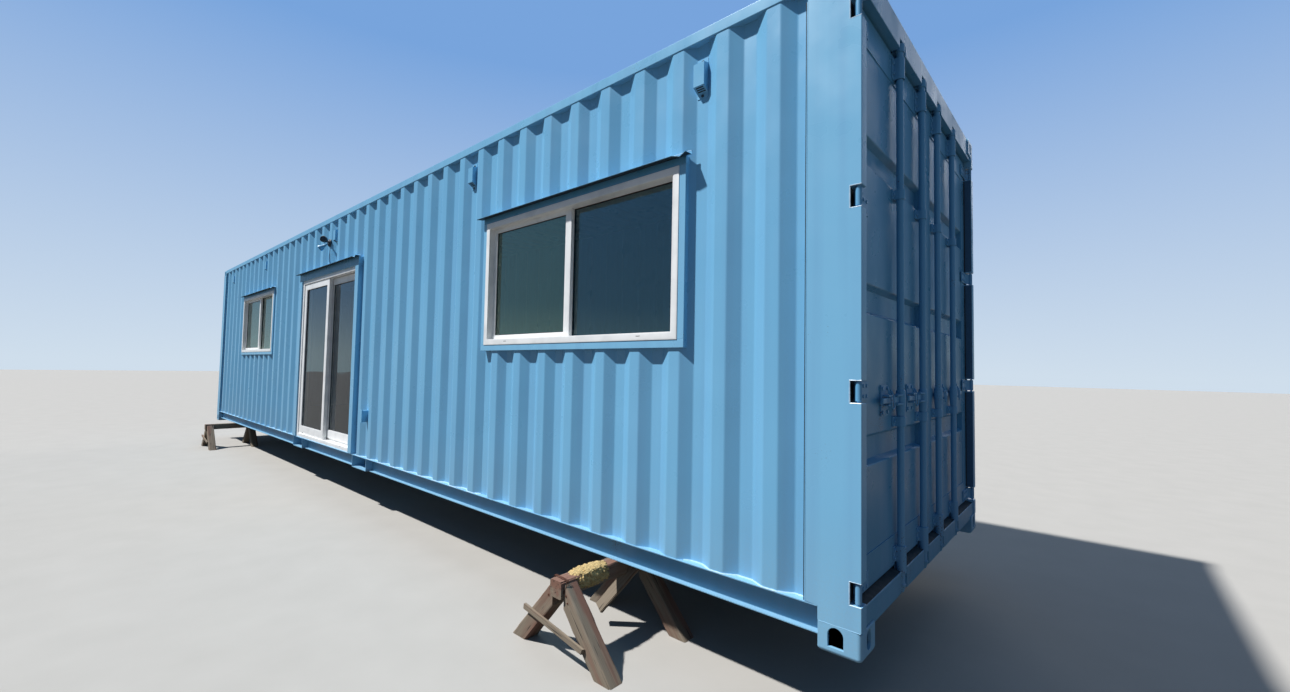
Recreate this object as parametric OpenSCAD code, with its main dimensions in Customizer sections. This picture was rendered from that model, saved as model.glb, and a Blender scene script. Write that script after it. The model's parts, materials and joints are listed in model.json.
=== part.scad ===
// Forty-foot high-cube shipping container made into a cabin, standing on timber sawhorses.
// Frame: X along the length with the cargo doors at +X, the window wall at -Y, +Z up,
// origin on the ground under the middle of the body.

/* [Container body] */
// Length over the corner castings
body_length = 12192; // [9800:1:13800]
// Width over the corner castings
body_width = 2438; // [2350:1:2600]
// Height from the foot of the bottom castings to the top of the top castings
body_height = 2896; // [2750:1:3000]
// Height of the casting feet above the ground
ground_clearance = 350; // [300:1:450]

/* [Corner castings] */
// Length of a casting along the body
casting_length = 178; // [170:1:185]
// Width of a casting across the body
casting_width = 162; // [155:1:170]
// Height of a casting
casting_height = 118; // [112:1:124]
// Wall of the outer side and end faces
casting_wall = 16; // [12:1:18]
// Wall of the face with the twist lock slot
casting_slot_wall = 28; // [24:1:30]
// Wall of the three inner faces
casting_inner_wall = 10; // [8:1:12]
// End to end length of the twist lock slot
lock_slot_length = 124.5; // [120:0.5:126]
// Width of the twist lock slot
lock_slot_width = 63.5; // [60:0.5:66]
// Distance from the end face to the middle of the slot
lock_slot_from_end = 103.5; // [100:0.5:104]
// Distance from the side face to the middle of the slot
lock_slot_from_side = 89.5; // [88:0.5:92]
// Width of the arched side aperture
side_aperture_width = 63.5; // [55:0.5:66]
// Width of the upright end aperture
end_aperture_width = 51; // [48:0.5:54]
// Height of both apertures
aperture_height = 79; // [76:0.5:82]

/* [Posts and rails] */
// Width of the flat side face of a door end post
door_post_side = 233; // [210:1:260]
// Depth of the closed part of a door end post along the body
door_post_depth = 113; // [105:1:130]
// Width of a door end post across the body
door_post_width = 60; // [56:1:70]
// Width of a blind end post across the body
blind_post_width = 120; // [100:1:140]
// Depth of the closed part of a blind end post along the body
blind_post_depth = 60; // [50:1:80]
// Plate of the posts
post_plate = 6; // [5:1:8]
// Side of the square top side rail
top_rail_size = 60; // [50:1:70]
// Drop of the top side rail below the top of the castings
top_rail_drop = 4; // [2:1:8]
// Height of the bottom side rail's lower flange above the casting feet
bottom_rail_lift = 49; // [40:1:60]
// Height of the bottom side rail
bottom_rail_height = 128; // [120:1:140]
// Flange width of the bottom side rail
bottom_rail_flange = 48; // [40:1:55]
// Plate of the bottom side rail
bottom_rail_plate = 4.5; // [4:0.5:6]

/* [Forklift pockets] */
// Distance between the two pockets' middles
pocket_spacing = 2050; // [1900:1:2200]
// Clear width of a pocket
pocket_width = 360; // [340:1:380]
// Plate of the pocket tunnels
pocket_plate = 6; // [5:1:8]
// Length of the strap under a pocket at each side
pocket_strap = 200; // [150:1:250]

/* [Corrugated steel walls] */
// Pitch of the wall corrugations
wall_pitch = 278; // [270:1:290]
// Flat outer crest of a corrugation
wall_crest = 72; // [66:1:76]
// Length of a sloping face along the wall
wall_slope = 68; // [62:1:72]
// Depth of the corrugations
wall_depth = 36; // [30:1:40]
// Thickness of the wall sheet
sheet = 2; // [1.6:0.2:3]
// Inset of the outer crests from the castings' side faces
wall_inset = 4; // [2:1:8]
// Distance from the door end to the edge of the first crest
first_crest_from_door_end = 364; // [340:1:400]
// Pitch of the roof corrugations
roof_pitch = 209; // [195:1:220]
// Depth of the roof corrugations
roof_depth = 20; // [16:1:24]

/* [Floor] */
// Thickness of the plywood floor
floor_thickness = 28; // [21:1:30]
// Pitch of the crossmembers
crossmember_pitch = 300; // [280:1:340]
// Flange width of a crossmember
crossmember_flange = 45; // [40:1:60]
// Plate of a crossmember
crossmember_plate = 4; // [3:0.5:5]

/* [Windows] */
// Width of a window frame
window_width = 1829; // [1500:1:1950]
// Height of a window frame
window_height = 914; // [700:1:1000]
// Distance from the door end to the middle of the near window
near_window_from_doors = 1843; // [1700:1:1950]
// Distance from the blind end to the middle of the far window
far_window_from_end = 2711; // [2400:1:3300]
// Height of the window and patio door heads above the casting feet
opening_head = 2207; // [2150:1:2230]
// Face width of a window frame
window_face = 42; // [36:1:50]
// Depth of a window frame
window_frame_depth = 92; // [86:1:100]
// Face width of the sliding sash at the meeting stile
sash_face = 56; // [44:1:60]
// Visible face width of the sash's stile next to the frame
sash_side = 36; // [30:1:44]
// Depth of the sliding sash
sash_depth = 26; // [22:1:30]
// Distance from the front of the frame back to the sash
sash_recess = 44; // [36:1:46]
// Thickness of the window glass
glass = 6; // [4:1:8]

/* [Patio door] */
// Width of the patio door frame
patio_width = 1840; // [1600:1:1900]
// Middle of the patio door
patio_x = -200; // [-400:1:200]
// Face width of the patio door frame
patio_face = 45; // [40:1:52]
// Depth of the patio door frame
patio_frame_depth = 104; // [102:1:110]
// Stile and rail width of a door panel
patio_stile = 76; // [66:1:86]
// Thickness of a door panel
patio_panel = 38; // [34:1:40]
// Overlap of the two panels' meeting stiles
patio_overlap = 70; // [60:1:80]

/* [Steel trim round the openings] */
// Face width of the steel tube round a window
trim_face = 43; // [36:1:50]
// Face width of the steel tube round the patio door
patio_trim_face = 92; // [50:1:105]
// Distance that the trim stands out from the crests
trim_proud = 11; // [6:1:20]
// Depth of the trim tube
trim_depth = 76; // [70:1:90]
// Distance from the front of the trim back to the patio door frame
patio_recess = 18; // [10:1:24]
// Overhang of a drip cap past each side of the trim
cap_overhang = 30; // [15:1:50]
// Distance that a drip cap stands out from the crests
cap_reach = 60; // [50:1:75]
// Fall of a drip cap from the trim to its front edge
cap_fall = 24; // [15:1:35]
// Plate of a drip cap
cap_plate = 3; // [2:0.5:4]

/* [Cargo doors] */
// Distance from the door end to the outer face of the leaves
leaf_setback = 48; // [46:1:50]
// Thickness of a leaf's frame
leaf_thickness = 50; // [45:1:50]
// Gap between the two leaves
leaf_gap_centre = 20; // [18:1:24]
// Gap between a leaf and its post
leaf_gap_post = 20; // [18:1:24]
// Gap between a leaf and the header or sill
leaf_gap_rail = 30; // [26:1:34]
// Distance from the top of the body to the header's underside
header_drop = 146; // [140:1:170]
// Height of the sill's top above the casting feet
sill_top = 200; // [190:1:204]
// Width of a leaf's upright frame members
leaf_stile = 100; // [80:1:110]
// Height of a leaf's top and bottom frame members
leaf_rail = 130; // [110:1:150]
// Inset of a leaf's sheet behind its frame
leaf_sheet_inset = 4; // [2:1:6]
// Depth of the pressed bands across a leaf
band_depth = 30; // [20:1:34]
// Height of a pressed band
band_height = 134; // [110:1:150]
// Depth of the gasket along the body
gasket_depth = 16; // [12:1:20]
// Distance that the gasket stands out beside the post
gasket_side = 12; // [8:1:13]
// Distance that the gasket stands out above and below a leaf
gasket_end = 20; // [14:1:20]
// Distance that the gasket stands out at the centre gap
gasket_centre = 5; // [3:1:5]

/* [Cargo door hinges] */
// Radius of a hinge pin
pin_r = 7; // [6:0.5:8]
// Running clearance round a pin
pin_clearance = 0.3; // [0.2:0.1:0.5]
// Radius of a hinge knuckle
knuckle_r = 14; // [13:0.5:15]
// Distance from the end face to the pin
pin_from_end = 18; // [17:0.5:20]
// Distance from the side face to the pin
pin_from_side = 19; // [18:0.5:20]
// Height of a hinge blade
blade_height = 76; // [66:1:80]
// Thickness of a hinge blade
blade_thickness = 8; // [6:1:9]
// Length of a blade's flat on the leaf
blade_reach = 125; // [90:1:150]
// Height of the notch in the post for a hinge
notch_height = 90; // [88:1:100]
// Width of the notch in the post's side face
notch_side = 47; // [44:1:50]
// Height of the lowest hinge above the casting feet
first_hinge = 263; // [220:1:320]
// Spacing of the hinges
hinge_spacing = 798; // [700:1:810]

/* [Lock rods] */
// Radius of a lock rod
rod_r = 17; // [15:0.5:17]
// Distance from the end face to a rod's axis
rod_from_end = 23; // [23:0.5:24]
// Distance from the middle of the body to the inner rods
inner_rod_y = 180; // [160:1:200]
// Distance from the middle of the body to the outer rods
outer_rod_y = 600; // [560:1:640]
// Reach of a cam's nose from the rod's axis
cam_reach = 34; // [30:1:34]
// Width of a cam's nose
cam_width = 18; // [14:1:22]
// Height of a cam
cam_height = 40; // [34:1:42]
// Gap between a rod's end and the end of its recess
rod_end_gap = 6; // [5:1:10]
// Width of the recess for a cam
recess_width = 150; // [140:1:160]
// Height of the recess for a cam
recess_height = 116; // [108:1:120]
// Depth of the recess from the end face
recess_from_end = 70; // [68:1:74]
// Plate of a keeper
keeper_plate = 6; // [5:1:6]
// Clear width between a keeper's two ears
keeper_mouth = 84; // [82:1:92]
// Thickness of a keeper's ear
keeper_ear = 14; // [10:1:16]
// Width of a rod bracket's plate
bracket_width = 96; // [80:1:110]
// Height of a strap bracket round a rod
strap_height = 48; // [40:1:60]
// Height of the lower strap brackets above the casting feet
lower_strap_z = 905; // [895:1:915]
// Distance from the top of the body to the upper strap brackets
upper_strap_drop = 871; // [855:1:885]
// Height of the guide at the top of a leaf
guide_height = 110; // [90:1:120]
// Height of the sleeve at the foot of a leaf
sleeve_height = 126; // [110:1:140]
// Distance that the sleeve hangs below the leaf
sleeve_drop = 48; // [40:1:54]
// Length of a handle from the rod's axis
handle_length = 270; // [240:1:300]
// Height of a handle bar
handle_bar = 26; // [22:1:30]
// Thickness of a handle bar
handle_thickness = 10; // [8:1:12]
// Height of the handles above the casting feet
handle_z = 1012; // [1005:1:1030]
// Distance from a rod's axis to the middle of its handle's catch
catch_distance = 175; // [150:1:200]

/* [Small fittings] */
// Width of a vent cover
vent_width = 66; // [56:1:68]
// Height of a vent cover with its flanges
vent_height = 205; // [180:1:220]
// Distance that a vent cover stands out from its valley
vent_proud = 42; // [38:1:50]
// Drop of the vent covers below the top side rail
vent_drop = 80; // [70:1:100]
// Distance along the body from the middle of the patio door to the lamp
lamp_from_patio = 58; // [-80:1:200]
// Width of the outlet box
outlet_width = 68; // [60:1:69]
// Height of the outlet box
outlet_height = 117; // [100:1:130]
// Depth of the outlet box
outlet_depth = 64; // [56:1:70]
// Height of the outlet box's middle above the casting feet
outlet_z = 600; // [500:1:700]
// Distance from the top of the body to the middle of the lamp's plate
lamp_drop = 316; // [300:1:400]

/* [Sawhorses] */
// Distance from an end of the body to a sawhorse's beam
horse_from_end = 1396; // [1000:1:1800]
// Width and height of the timbers
timber = 89; // [80:1:100]
// Distance that a beam runs out past the body's side
beam_out = 380; // [340:1:420]
// Length of a beam
beam_length = 700; // [600:1:850]
// Spread of a leg's foot from the middle of the beam
leg_spread = 386; // [340:1:420]
// Distance from a beam's end to the middle of a leg
leg_from_end = 62; // [50:1:80]

/* [Hidden] */

paint = [0.38, 0.64, 0.80];
vinyl = [0.93, 0.93, 0.91];
rubber = [0.08, 0.09, 0.10];
pane = [0.25, 0.35, 0.38, 0.5];
timber_colour = [0.42, 0.30, 0.24];
lamp_colour = [0.12, 0.13, 0.15];

round_fn = 48;
hl = body_length / 2;
hw = body_width / 2;
cut = 1;
crest_y = hw - wall_inset;
valley_y = crest_y - wall_depth;
rail_top = bottom_rail_lift + bottom_rail_height;
top_rail_under = body_height - top_rail_drop - top_rail_size;
casting_top_under = body_height - casting_height;
door_wall_x = hl - door_post_side;
rail_half = hl - casting_length;
blind_wall_x = -rail_half;
header_underside = body_height - header_drop;
post_return = wall_inset + wall_depth + 2 * sheet;

module lifted() {
    translate([0, 0, ground_clearance]) children();
}

module in_quadrant(sx, sy) {
    mirror([sx < 0 ? 1 : 0, 0, 0]) mirror([0, sy < 0 ? 1 : 0, 0]) children();
}

// A box given by its two extreme corners
module block(low, high) {
    translate(low) cube(high - low);
}

// Corrugated sheet: depth below the crests at a distance along the wall
function corrugation(d, pitch, crest, slope, depth) =
    let (u = d - pitch * floor(d / pitch))
    u <= crest ? 0
    : u < crest + slope ? depth * (u - crest) / slope
    : u <= pitch - slope ? depth
    : depth * (pitch - u) / slope;

// Corners of a corrugated line between two distances, with the ends added
function corrugation_line(from, to, pitch, crest, slope, depth) =
    let (first = floor(from / pitch) - 1, last = ceil(to / pitch) + 1,
         corners = [for (k = [first : last]) for (c = [0, crest, crest + slope, pitch - slope])
             k * pitch + c],
         inside = [for (d = corners) if (d > from + 0.01 && d < to - 0.01) d],
         all = concat([from], inside, [to]))
    [for (d = all) [d, -corrugation(d, pitch, crest, slope, depth)]];

// Closed outline of a corrugated sheet, crests at 0 and valleys at -depth
function corrugated_outline(from, to, pitch, crest, slope, depth, thick) =
    let (line = corrugation_line(from, to, pitch, crest, slope, depth), n = len(line))
    concat(line, [for (i = [n - 1 : -1 : 0]) [line[i][0], line[i][1] - thick]]);

// Stretch of side wall at +Y between two places along the body and two heights
module side_wall(x0, x1, z0, z1) {
    from = hl - first_crest_from_door_end - x1;
    to = hl - first_crest_from_door_end - x0;
    translate([hl - first_crest_from_door_end, crest_y, z0])
        mirror([1, 0, 0])
            linear_extrude(z1 - z0)
                polygon(corrugated_outline(from, to, wall_pitch, wall_crest, wall_slope,
                    wall_depth, sheet));
}

// Corner castings
module lock_slot() {
    straight = lock_slot_length - lock_slot_width;
    square([straight, lock_slot_width], center = true);
    for (s = [-1, 1])
        translate([s * straight / 2, 0]) circle(d = lock_slot_width, $fn = round_fn);
}

module side_aperture() {
    r = side_aperture_width / 2;
    translate([-r, -aperture_height / 2]) square([2 * r, aperture_height - r]);
    translate([0, aperture_height / 2 - r]) circle(r, $fn = round_fn);
}

module end_aperture() {
    straight = aperture_height - end_aperture_width;
    square([end_aperture_width, straight], center = true);
    for (s = [-1, 1])
        translate([0, s * straight / 2]) circle(d = end_aperture_width, $fn = round_fn);
}

// Casting in the +X +Y corner with its slot at the foot
module casting() {
    aperture_z = (casting_slot_wall + casting_height - casting_inner_wall) / 2;
    difference() {
        block([hl - casting_length, hw - casting_width, 0], [hl, hw, casting_height]);
        block([hl - casting_length + casting_inner_wall, hw - casting_width + casting_inner_wall,
                casting_slot_wall],
            [hl - casting_wall, hw - casting_wall, casting_height - casting_inner_wall]);
        translate([hl - lock_slot_from_end, hw - lock_slot_from_side, -cut])
            linear_extrude(casting_slot_wall + 2 * cut) lock_slot();
        translate([hl - lock_slot_from_end, hw + cut, aperture_z])
            rotate([90, 0, 0]) linear_extrude(casting_wall + 2 * cut) side_aperture();
        translate([hl + cut, hw - lock_slot_from_side, aperture_z])
            rotate([90, 0, -90]) linear_extrude(casting_wall + 2 * cut) end_aperture();
    }
}

module bottom_corner_castings() {
    color(paint) lifted() for (sx = [-1, 1]) for (sy = [-1, 1]) in_quadrant(sx, sy) casting();
}

module top_corner_castings() {
    color(paint) lifted() for (sx = [-1, 1]) for (sy = [-1, 1]) in_quadrant(sx, sy)
        translate([0, 0, body_height]) mirror([0, 0, 1]) casting();
}

// Posts
module hinge_heights() {
    for (i = [0 : 3]) translate([0, 0, first_hinge + i * hinge_spacing]) children();
}

module door_post() {
    pin_x = hl - pin_from_end;
    pin_y = hw - pin_from_side;
    lug = notch_height / 2 + 25;
    notch_back = hl - leaf_setback - 6;
    difference() {
        union() {
            difference() {
                block([hl - door_post_depth, hw - door_post_width, casting_height],
                    [hl, hw, casting_top_under]);
                block([hl - door_post_depth + post_plate, hw - door_post_width + post_plate,
                        casting_height - cut],
                    [hl - post_plate, hw - post_plate, casting_top_under + cut]);
            }
            block([hl - casting_length, hw - post_plate, casting_height],
                [hl - door_post_depth + cut, hw, casting_top_under]);
            block([door_wall_x, hw - post_plate, rail_top],
                [hl - casting_length, hw, top_rail_under]);
            block([door_wall_x, hw - post_return, rail_top],
                [door_wall_x + post_plate, hw - post_plate, top_rail_under]);
            hinge_heights()
                block([notch_back - post_plate, hw - door_post_width, -lug],
                    [hl, hw, lug]);
        }
        hinge_heights() {
            block([hl - notch_side, hw - door_post_width - cut, -notch_height / 2],
                [hl + cut, hw + cut, notch_height / 2]);
            block([notch_back, hw - door_post_width - cut, -notch_height / 2],
                [hl, hw - post_plate, notch_height / 2]);
        }
    }
    hinge_heights()
        translate([pin_x, pin_y, -notch_height / 2 - 15])
            cylinder(r = pin_r, h = notch_height + 30, $fn = round_fn);
}

module door_end_posts() {
    color(paint) lifted() for (sy = [-1, 1]) in_quadrant(1, sy) door_post();
}

module blind_post() {
    difference() {
        block([hl - blind_post_depth, hw - blind_post_width, casting_height],
            [hl, hw, casting_top_under]);
        block([hl - blind_post_depth + post_plate, hw - blind_post_width + post_plate,
                casting_height - cut],
            [hl - post_plate, hw - post_plate, casting_top_under + cut]);
    }
    block([rail_half, hw - post_plate, casting_height],
        [hl - blind_post_depth + cut, hw, casting_top_under]);
    block([rail_half, hw - post_return, casting_height],
        [rail_half + post_plate, hw - post_plate, casting_top_under]);
}

module blind_end_posts() {
    color(paint) lifted() for (sy = [-1, 1]) in_quadrant(-1, sy) blind_post();
}

// Side rails
module top_side_rails() {
    z0 = top_rail_under;
    wall = 4;
    color(paint) lifted() for (sy = [-1, 1]) in_quadrant(1, sy)
        difference() {
            block([-rail_half, hw - top_rail_size, z0], [rail_half, hw, z0 + top_rail_size]);
            block([-rail_half - cut, hw - top_rail_size + wall, z0 + wall],
                [rail_half + cut, hw - wall, z0 + top_rail_size - wall]);
        }
}

pocket_x = pocket_spacing / 2;
pocket_edge = pocket_width / 2 + pocket_plate;
web_y = hw - bottom_rail_flange - bottom_rail_plate;

module channel(x0, x1) {
    t = bottom_rail_plate;
    block([x0, web_y, bottom_rail_lift], [x1, web_y + t, rail_top]);
    block([x0, web_y, bottom_rail_lift], [x1, hw, bottom_rail_lift + t]);
    block([x0, web_y, rail_top - t], [x1, hw, rail_top]);
}

module bottom_side_rails() {
    color(paint) lifted() for (sy = [-1, 1]) in_quadrant(1, sy) {
        channel(-rail_half, -pocket_x - pocket_edge);
        channel(-pocket_x + pocket_edge, pocket_x - pocket_edge);
        channel(pocket_x + pocket_edge, rail_half);
    }
}

module fork_pocket_sides() {
    color(paint) lifted() for (s = [-1, 1]) for (side = [-1, 1])
        translate([s * pocket_x + side * (pocket_edge - pocket_plate / 2), 0, 0])
            block([-pocket_plate / 2, -hw, bottom_rail_lift + pocket_plate],
                [pocket_plate / 2, hw, rail_top - pocket_plate]);
}

module fork_pocket_plates() {
    color(paint) lifted() for (s = [-1, 1]) translate([s * pocket_x, 0, 0]) {
        block([-pocket_edge, -hw, rail_top - pocket_plate], [pocket_edge, hw, rail_top]);
        for (sy = [-1, 1]) in_quadrant(1, sy)
            block([-pocket_edge, hw - pocket_strap, bottom_rail_lift],
                [pocket_edge, hw, bottom_rail_lift + pocket_plate]);
    }
}

// Header, sill and keepers at the door end
rod_ys = [-outer_rod_y, -inner_rod_y, inner_rod_y, outer_rod_y];
frame_back = hl - door_post_depth;
frame_front = hl - 8;
header_top = body_height - 11;

module door_header() {
    color(paint) lifted() difference() {
        union() {
            block([frame_back, -hw + door_post_width, header_underside],
                [frame_front, hw - door_post_width, casting_top_under]);
            block([frame_back, -hw + casting_width, casting_top_under],
                [frame_front, hw - casting_width, header_top]);
            block([rail_half, -hw + casting_width, header_top - post_plate],
                [frame_back + cut, hw - casting_width, header_top]);
        }
        for (y = rod_ys)
            block([hl - recess_from_end, y - recess_width / 2, header_underside - cut],
                [hl, y + recess_width / 2, header_underside + recess_height]);
    }
}

module door_sill() {
    underside = 100;
    lower_front = hl - 62;
    color(paint) lifted() difference() {
        union() {
            block([frame_back, -hw + door_post_width, casting_height],
                [frame_front, hw - door_post_width, sill_top]);
            block([frame_back, -hw + casting_width, underside],
                [frame_front, hw - casting_width, casting_height + cut]);
            block([lower_front - 10, -hw + casting_width, 30],
                [lower_front, hw - casting_width, underside + cut]);
        }
        for (y = rod_ys)
            block([hl - recess_from_end, y - recess_width / 2, sill_top - recess_height],
                [hl, y + recess_width / 2, sill_top + cut]);
    }
}

module keeper(z0, z1) {
    back = hl - recess_from_end;
    half = keeper_mouth / 2 + keeper_ear;
    block([back, -half, z0], [back + keeper_plate, half, z1]);
    for (s = [-1, 1]) in_quadrant(1, s)
        block([back, keeper_mouth / 2, z0], [hl - 20, half, z1]);
}

module cam_keepers() {
    color(paint) lifted() for (y = rod_ys) translate([0, y, 0]) {
        keeper(header_underside + 2, header_underside + recess_height);
        keeper(sill_top - recess_height, sill_top - 2);
    }
}

module blind_end_rails() {
    inner = -hl + blind_post_depth;
    color(paint) lifted() {
        block([-hl, -hw + casting_width, casting_top_under],
            [inner, hw - casting_width, header_top]);
        block([inner - cut, -hw + casting_width, header_top - post_plate],
            [-rail_half, hw - casting_width, header_top]);
        block([-hl + 4, -hw + casting_width, 30], [inner, hw - casting_width, casting_height]);
        block([-hl + 4, -hw + blind_post_width, casting_height],
            [inner, hw - blind_post_width, rail_top]);
    }
}

// Floor and its bearers
module crossmembers() {
    t = crossmember_plate;
    z0 = rail_top - (bottom_rail_height - pocket_plate);
    count = floor((rail_half - 100) / crossmember_pitch);
    color(paint) lifted() for (i = [-count : count]) {
        x = i * crossmember_pitch;
        if (abs(abs(x) - pocket_x) > pocket_edge + crossmember_flange)
            translate([x, 0, 0]) {
                block([0, -web_y, z0], [t, web_y, rail_top]);
                block([0, -web_y, rail_top - t], [crossmember_flange, web_y, rail_top]);
                block([0, -web_y, z0], [crossmember_flange, web_y, z0 + t]);
            }
    }
}

floor_top = rail_top + floor_thickness;
floor_half = valley_y - sheet - 2;

module floor_sheet() {
    block([-hl + 100, -floor_half, rail_top], [frame_back, floor_half, floor_top]);
}

module floor() {
    color(timber_colour) lifted() difference() {
        floor_sheet();
        for (sy = [-1, 1]) in_quadrant(1, sy)
            block([-hl, hw - blind_post_width - cut, rail_top - cut],
                [blind_wall_x + cut, hw, floor_top + cut]);
        block([patio_x - patio_half, -hw, rail_top - cut],
            [patio_x + patio_half, -min(trim_in, patio_in), floor_top + cut]);
    }
}

// Roof and walls
module roof_panel() {
    top = body_height - 6;
    color(paint) lifted()
        translate([0, hw - top_rail_size, top])
            rotate([90, 0, 0])
                linear_extrude(2 * (hw - top_rail_size))
                    polygon(corrugated_outline(-rail_half, rail_half, roof_pitch, 90, 20,
                        roof_depth, sheet));
}

module back_wall() {
    color(paint) lifted() side_wall(blind_wall_x, door_wall_x, rail_top, top_rail_under);
}

module blind_end_wall() {
    half = hw - blind_post_width;
    color(paint) lifted()
        translate([-hl + 8, 0, rail_top])
            rotate([0, 0, 90])
                linear_extrude(casting_top_under - rail_top)
                    polygon(corrugated_outline(-half, half, 250, 110, 18, 40, sheet));
}

near_x = hl - near_window_from_doors;
far_x = -hl + far_window_from_end;
window_half = window_width / 2 + trim_face;
patio_half = patio_width / 2 + patio_trim_face;
trim_top = opening_head + trim_face;
patio_trim_top = opening_head + patio_trim_face;
window_sill = opening_head - window_height;
trim_foot = window_sill - trim_face;

module front() {
    lifted() mirror([0, 1, 0]) children();
}

module front_wall_piers() {
    edges = [blind_wall_x, far_x - window_half, far_x + window_half, patio_x - patio_half,
        patio_x + patio_half, near_x - window_half, near_x + window_half, door_wall_x];
    color(paint) front() for (i = [0 : 2 : 6])
        side_wall(edges[i], edges[i + 1], rail_top, top_rail_under);
}

module front_wall_spandrels() {
    color(paint) front() {
        for (x = [near_x, far_x]) {
            side_wall(x - window_half, x + window_half, rail_top, trim_foot);
            side_wall(x - window_half, x + window_half, trim_top, top_rail_under);
        }
        side_wall(patio_x - patio_half, patio_x + patio_half, patio_trim_top, top_rail_under);
    }
}

// Steel trim and drip caps round the openings
trim_out = crest_y + trim_proud;
trim_in = trim_out - trim_depth;

module trim_jambs(x, half, face, z0) {
    for (s = [-1, 1]) translate([x, 0, 0]) in_quadrant(s, 1)
        block([half, trim_in, z0], [half + face, trim_out, opening_head]);
}

module opening_trim_jambs() {
    color(paint) front() {
        for (x = [near_x, far_x]) trim_jambs(x, window_width / 2, trim_face, window_sill);
        trim_jambs(patio_x, patio_width / 2, patio_trim_face, rail_top);
    }
}

module opening_trim_rails() {
    color(paint) front() {
        for (x = [near_x, far_x]) {
            block([x - window_half, trim_in, opening_head], [x + window_half, trim_out, trim_top]);
            block([x - window_half, trim_in, trim_foot], [x + window_half, trim_out, window_sill]);
        }
        block([patio_x - patio_half, trim_in, opening_head],
            [patio_x + patio_half, trim_out, patio_trim_top]);
    }
}

// Drip cap on top of the trim: a short leg up the wall, a falling plate and a small lip
module drip_cap(x, half, top) {
    t = cap_plate;
    leg = 20;
    lip = 4;
    reach = crest_y + cap_reach;
    profile = [[crest_y, top], [crest_y, top + leg], [crest_y + t, top + leg],
        [crest_y + t, top + t], [trim_out, top + t], [reach, top - cap_fall + t],
        [reach, top - cap_fall - lip], [reach - t, top - cap_fall - lip],
        [reach - t, top - cap_fall], [trim_out, top]];
    translate([x - half - cap_overhang, 0, 0])
        rotate([90, 0, 90]) linear_extrude(2 * (half + cap_overhang)) polygon(profile);
}

module drip_caps() {
    color(paint) front() {
        drip_cap(near_x, window_half, trim_top);
        drip_cap(far_x, window_half, trim_top);
        drip_cap(patio_x, patio_half, patio_trim_top);
    }
}

// Windows
window_out = trim_out + 3;
window_in = window_out - window_frame_depth;
sash_out = window_out - sash_recess;
meeting_x = 10 - sash_face;
sash_rail = 31;

module window_frame(x) {
    w = window_width / 2;
    translate([x, 0, 0]) {
        difference() {
            block([-w, window_in, window_sill], [w, window_out, opening_head]);
            block([-w + window_face, window_in - cut, window_sill + window_face],
                [w - window_face, window_out + cut, opening_head - window_face]);
        }
        block([meeting_x, window_in, window_sill + window_face],
            [meeting_x + 40, sash_out - sash_depth - 4, opening_head - window_face]);
    }
}

module window_sash(x) {
    left = -window_width / 2 + window_face;
    right = meeting_x + sash_face;
    z0 = window_sill + window_face;
    z1 = opening_head - window_face;
    translate([x, 0, 0]) difference() {
        block([left, sash_out - sash_depth, z0], [right, sash_out, z1]);
        block([left + sash_side, sash_out - sash_depth - cut, z0 + sash_rail],
            [right - sash_face, sash_out + cut, z1 - sash_rail]);
    }
}

module window_glass(x) {
    left = -window_width / 2 + window_face;
    z0 = window_sill + window_face;
    z1 = opening_head - window_face;
    pane_y = sash_out - sash_depth / 2;
    fixed_y = window_in + 11;
    translate([x, 0, 0]) {
        block([left + sash_side, pane_y - glass / 2, z0 + sash_rail],
            [meeting_x, pane_y + glass / 2, z1 - sash_rail]);
        block([meeting_x + 40, fixed_y - glass / 2, z0],
            [window_width / 2 - window_face, fixed_y + glass / 2, z1]);
    }
}

module near_window_frame() { color(vinyl) front() window_frame(near_x); }
module near_window_sash() { color(vinyl) front() window_sash(near_x); }
module near_window_glass() { color(pane) front() window_glass(near_x); }
module far_window_frame() { color(vinyl) front() window_frame(far_x); }
module far_window_sash() { color(vinyl) front() window_sash(far_x); }
module far_window_glass() { color(pane) front() window_glass(far_x); }

// Patio door: a fixed panel on the outer track and, nearer the doors, a sliding one on the inner
patio_out = trim_out - patio_recess;
patio_in = patio_out - patio_frame_depth;
patio_inner = patio_width / 2 - patio_face;
patio_foot = rail_top + patio_face;
patio_head = opening_head - patio_face;
outer_track = patio_out - 12 - patio_panel;
inner_track = outer_track - 8 - patio_panel;
track_height = 14;
slide_gap = 5;
runner_gap = 0.3;

module patio_frame_jambs() {
    color(vinyl) front() for (s = [-1, 1]) translate([patio_x, 0, 0]) in_quadrant(s, 1)
        block([patio_inner, patio_in, patio_foot], [patio_width / 2, patio_out, patio_head]);
}

module patio_frame_rails() {
    w = patio_width / 2;
    rib = 6;
    track_y = inner_track + patio_panel / 2;
    color(vinyl) front() translate([patio_x, 0, 0]) {
        block([-w, patio_in, rail_top], [w, patio_out, patio_foot]);
        block([-patio_inner, track_y - rib / 2, patio_foot - cut],
            [patio_inner, track_y + rib / 2, patio_foot + track_height]);
        block([-w, patio_in, patio_head], [w, patio_out, opening_head]);
    }
}

// Panel with a window hole, given by its two ends and heights
module door_panel(x0, x1, y0, z0, z1) {
    difference() {
        block([x0, y0, z0], [x1, y0 + patio_panel, z1]);
        block([x0 + patio_stile, y0 - cut, z0 + patio_stile * 1.3],
            [x1 - patio_stile, y0 + patio_panel + cut, z1 - patio_stile]);
    }
}

module door_pane(x0, x1, y0, z0, z1) {
    y = y0 + patio_panel / 2;
    block([x0 + patio_stile, y - glass / 2, z0 + patio_stile * 1.3],
        [x1 - patio_stile, y + glass / 2, z1 - patio_stile]);
}

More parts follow.
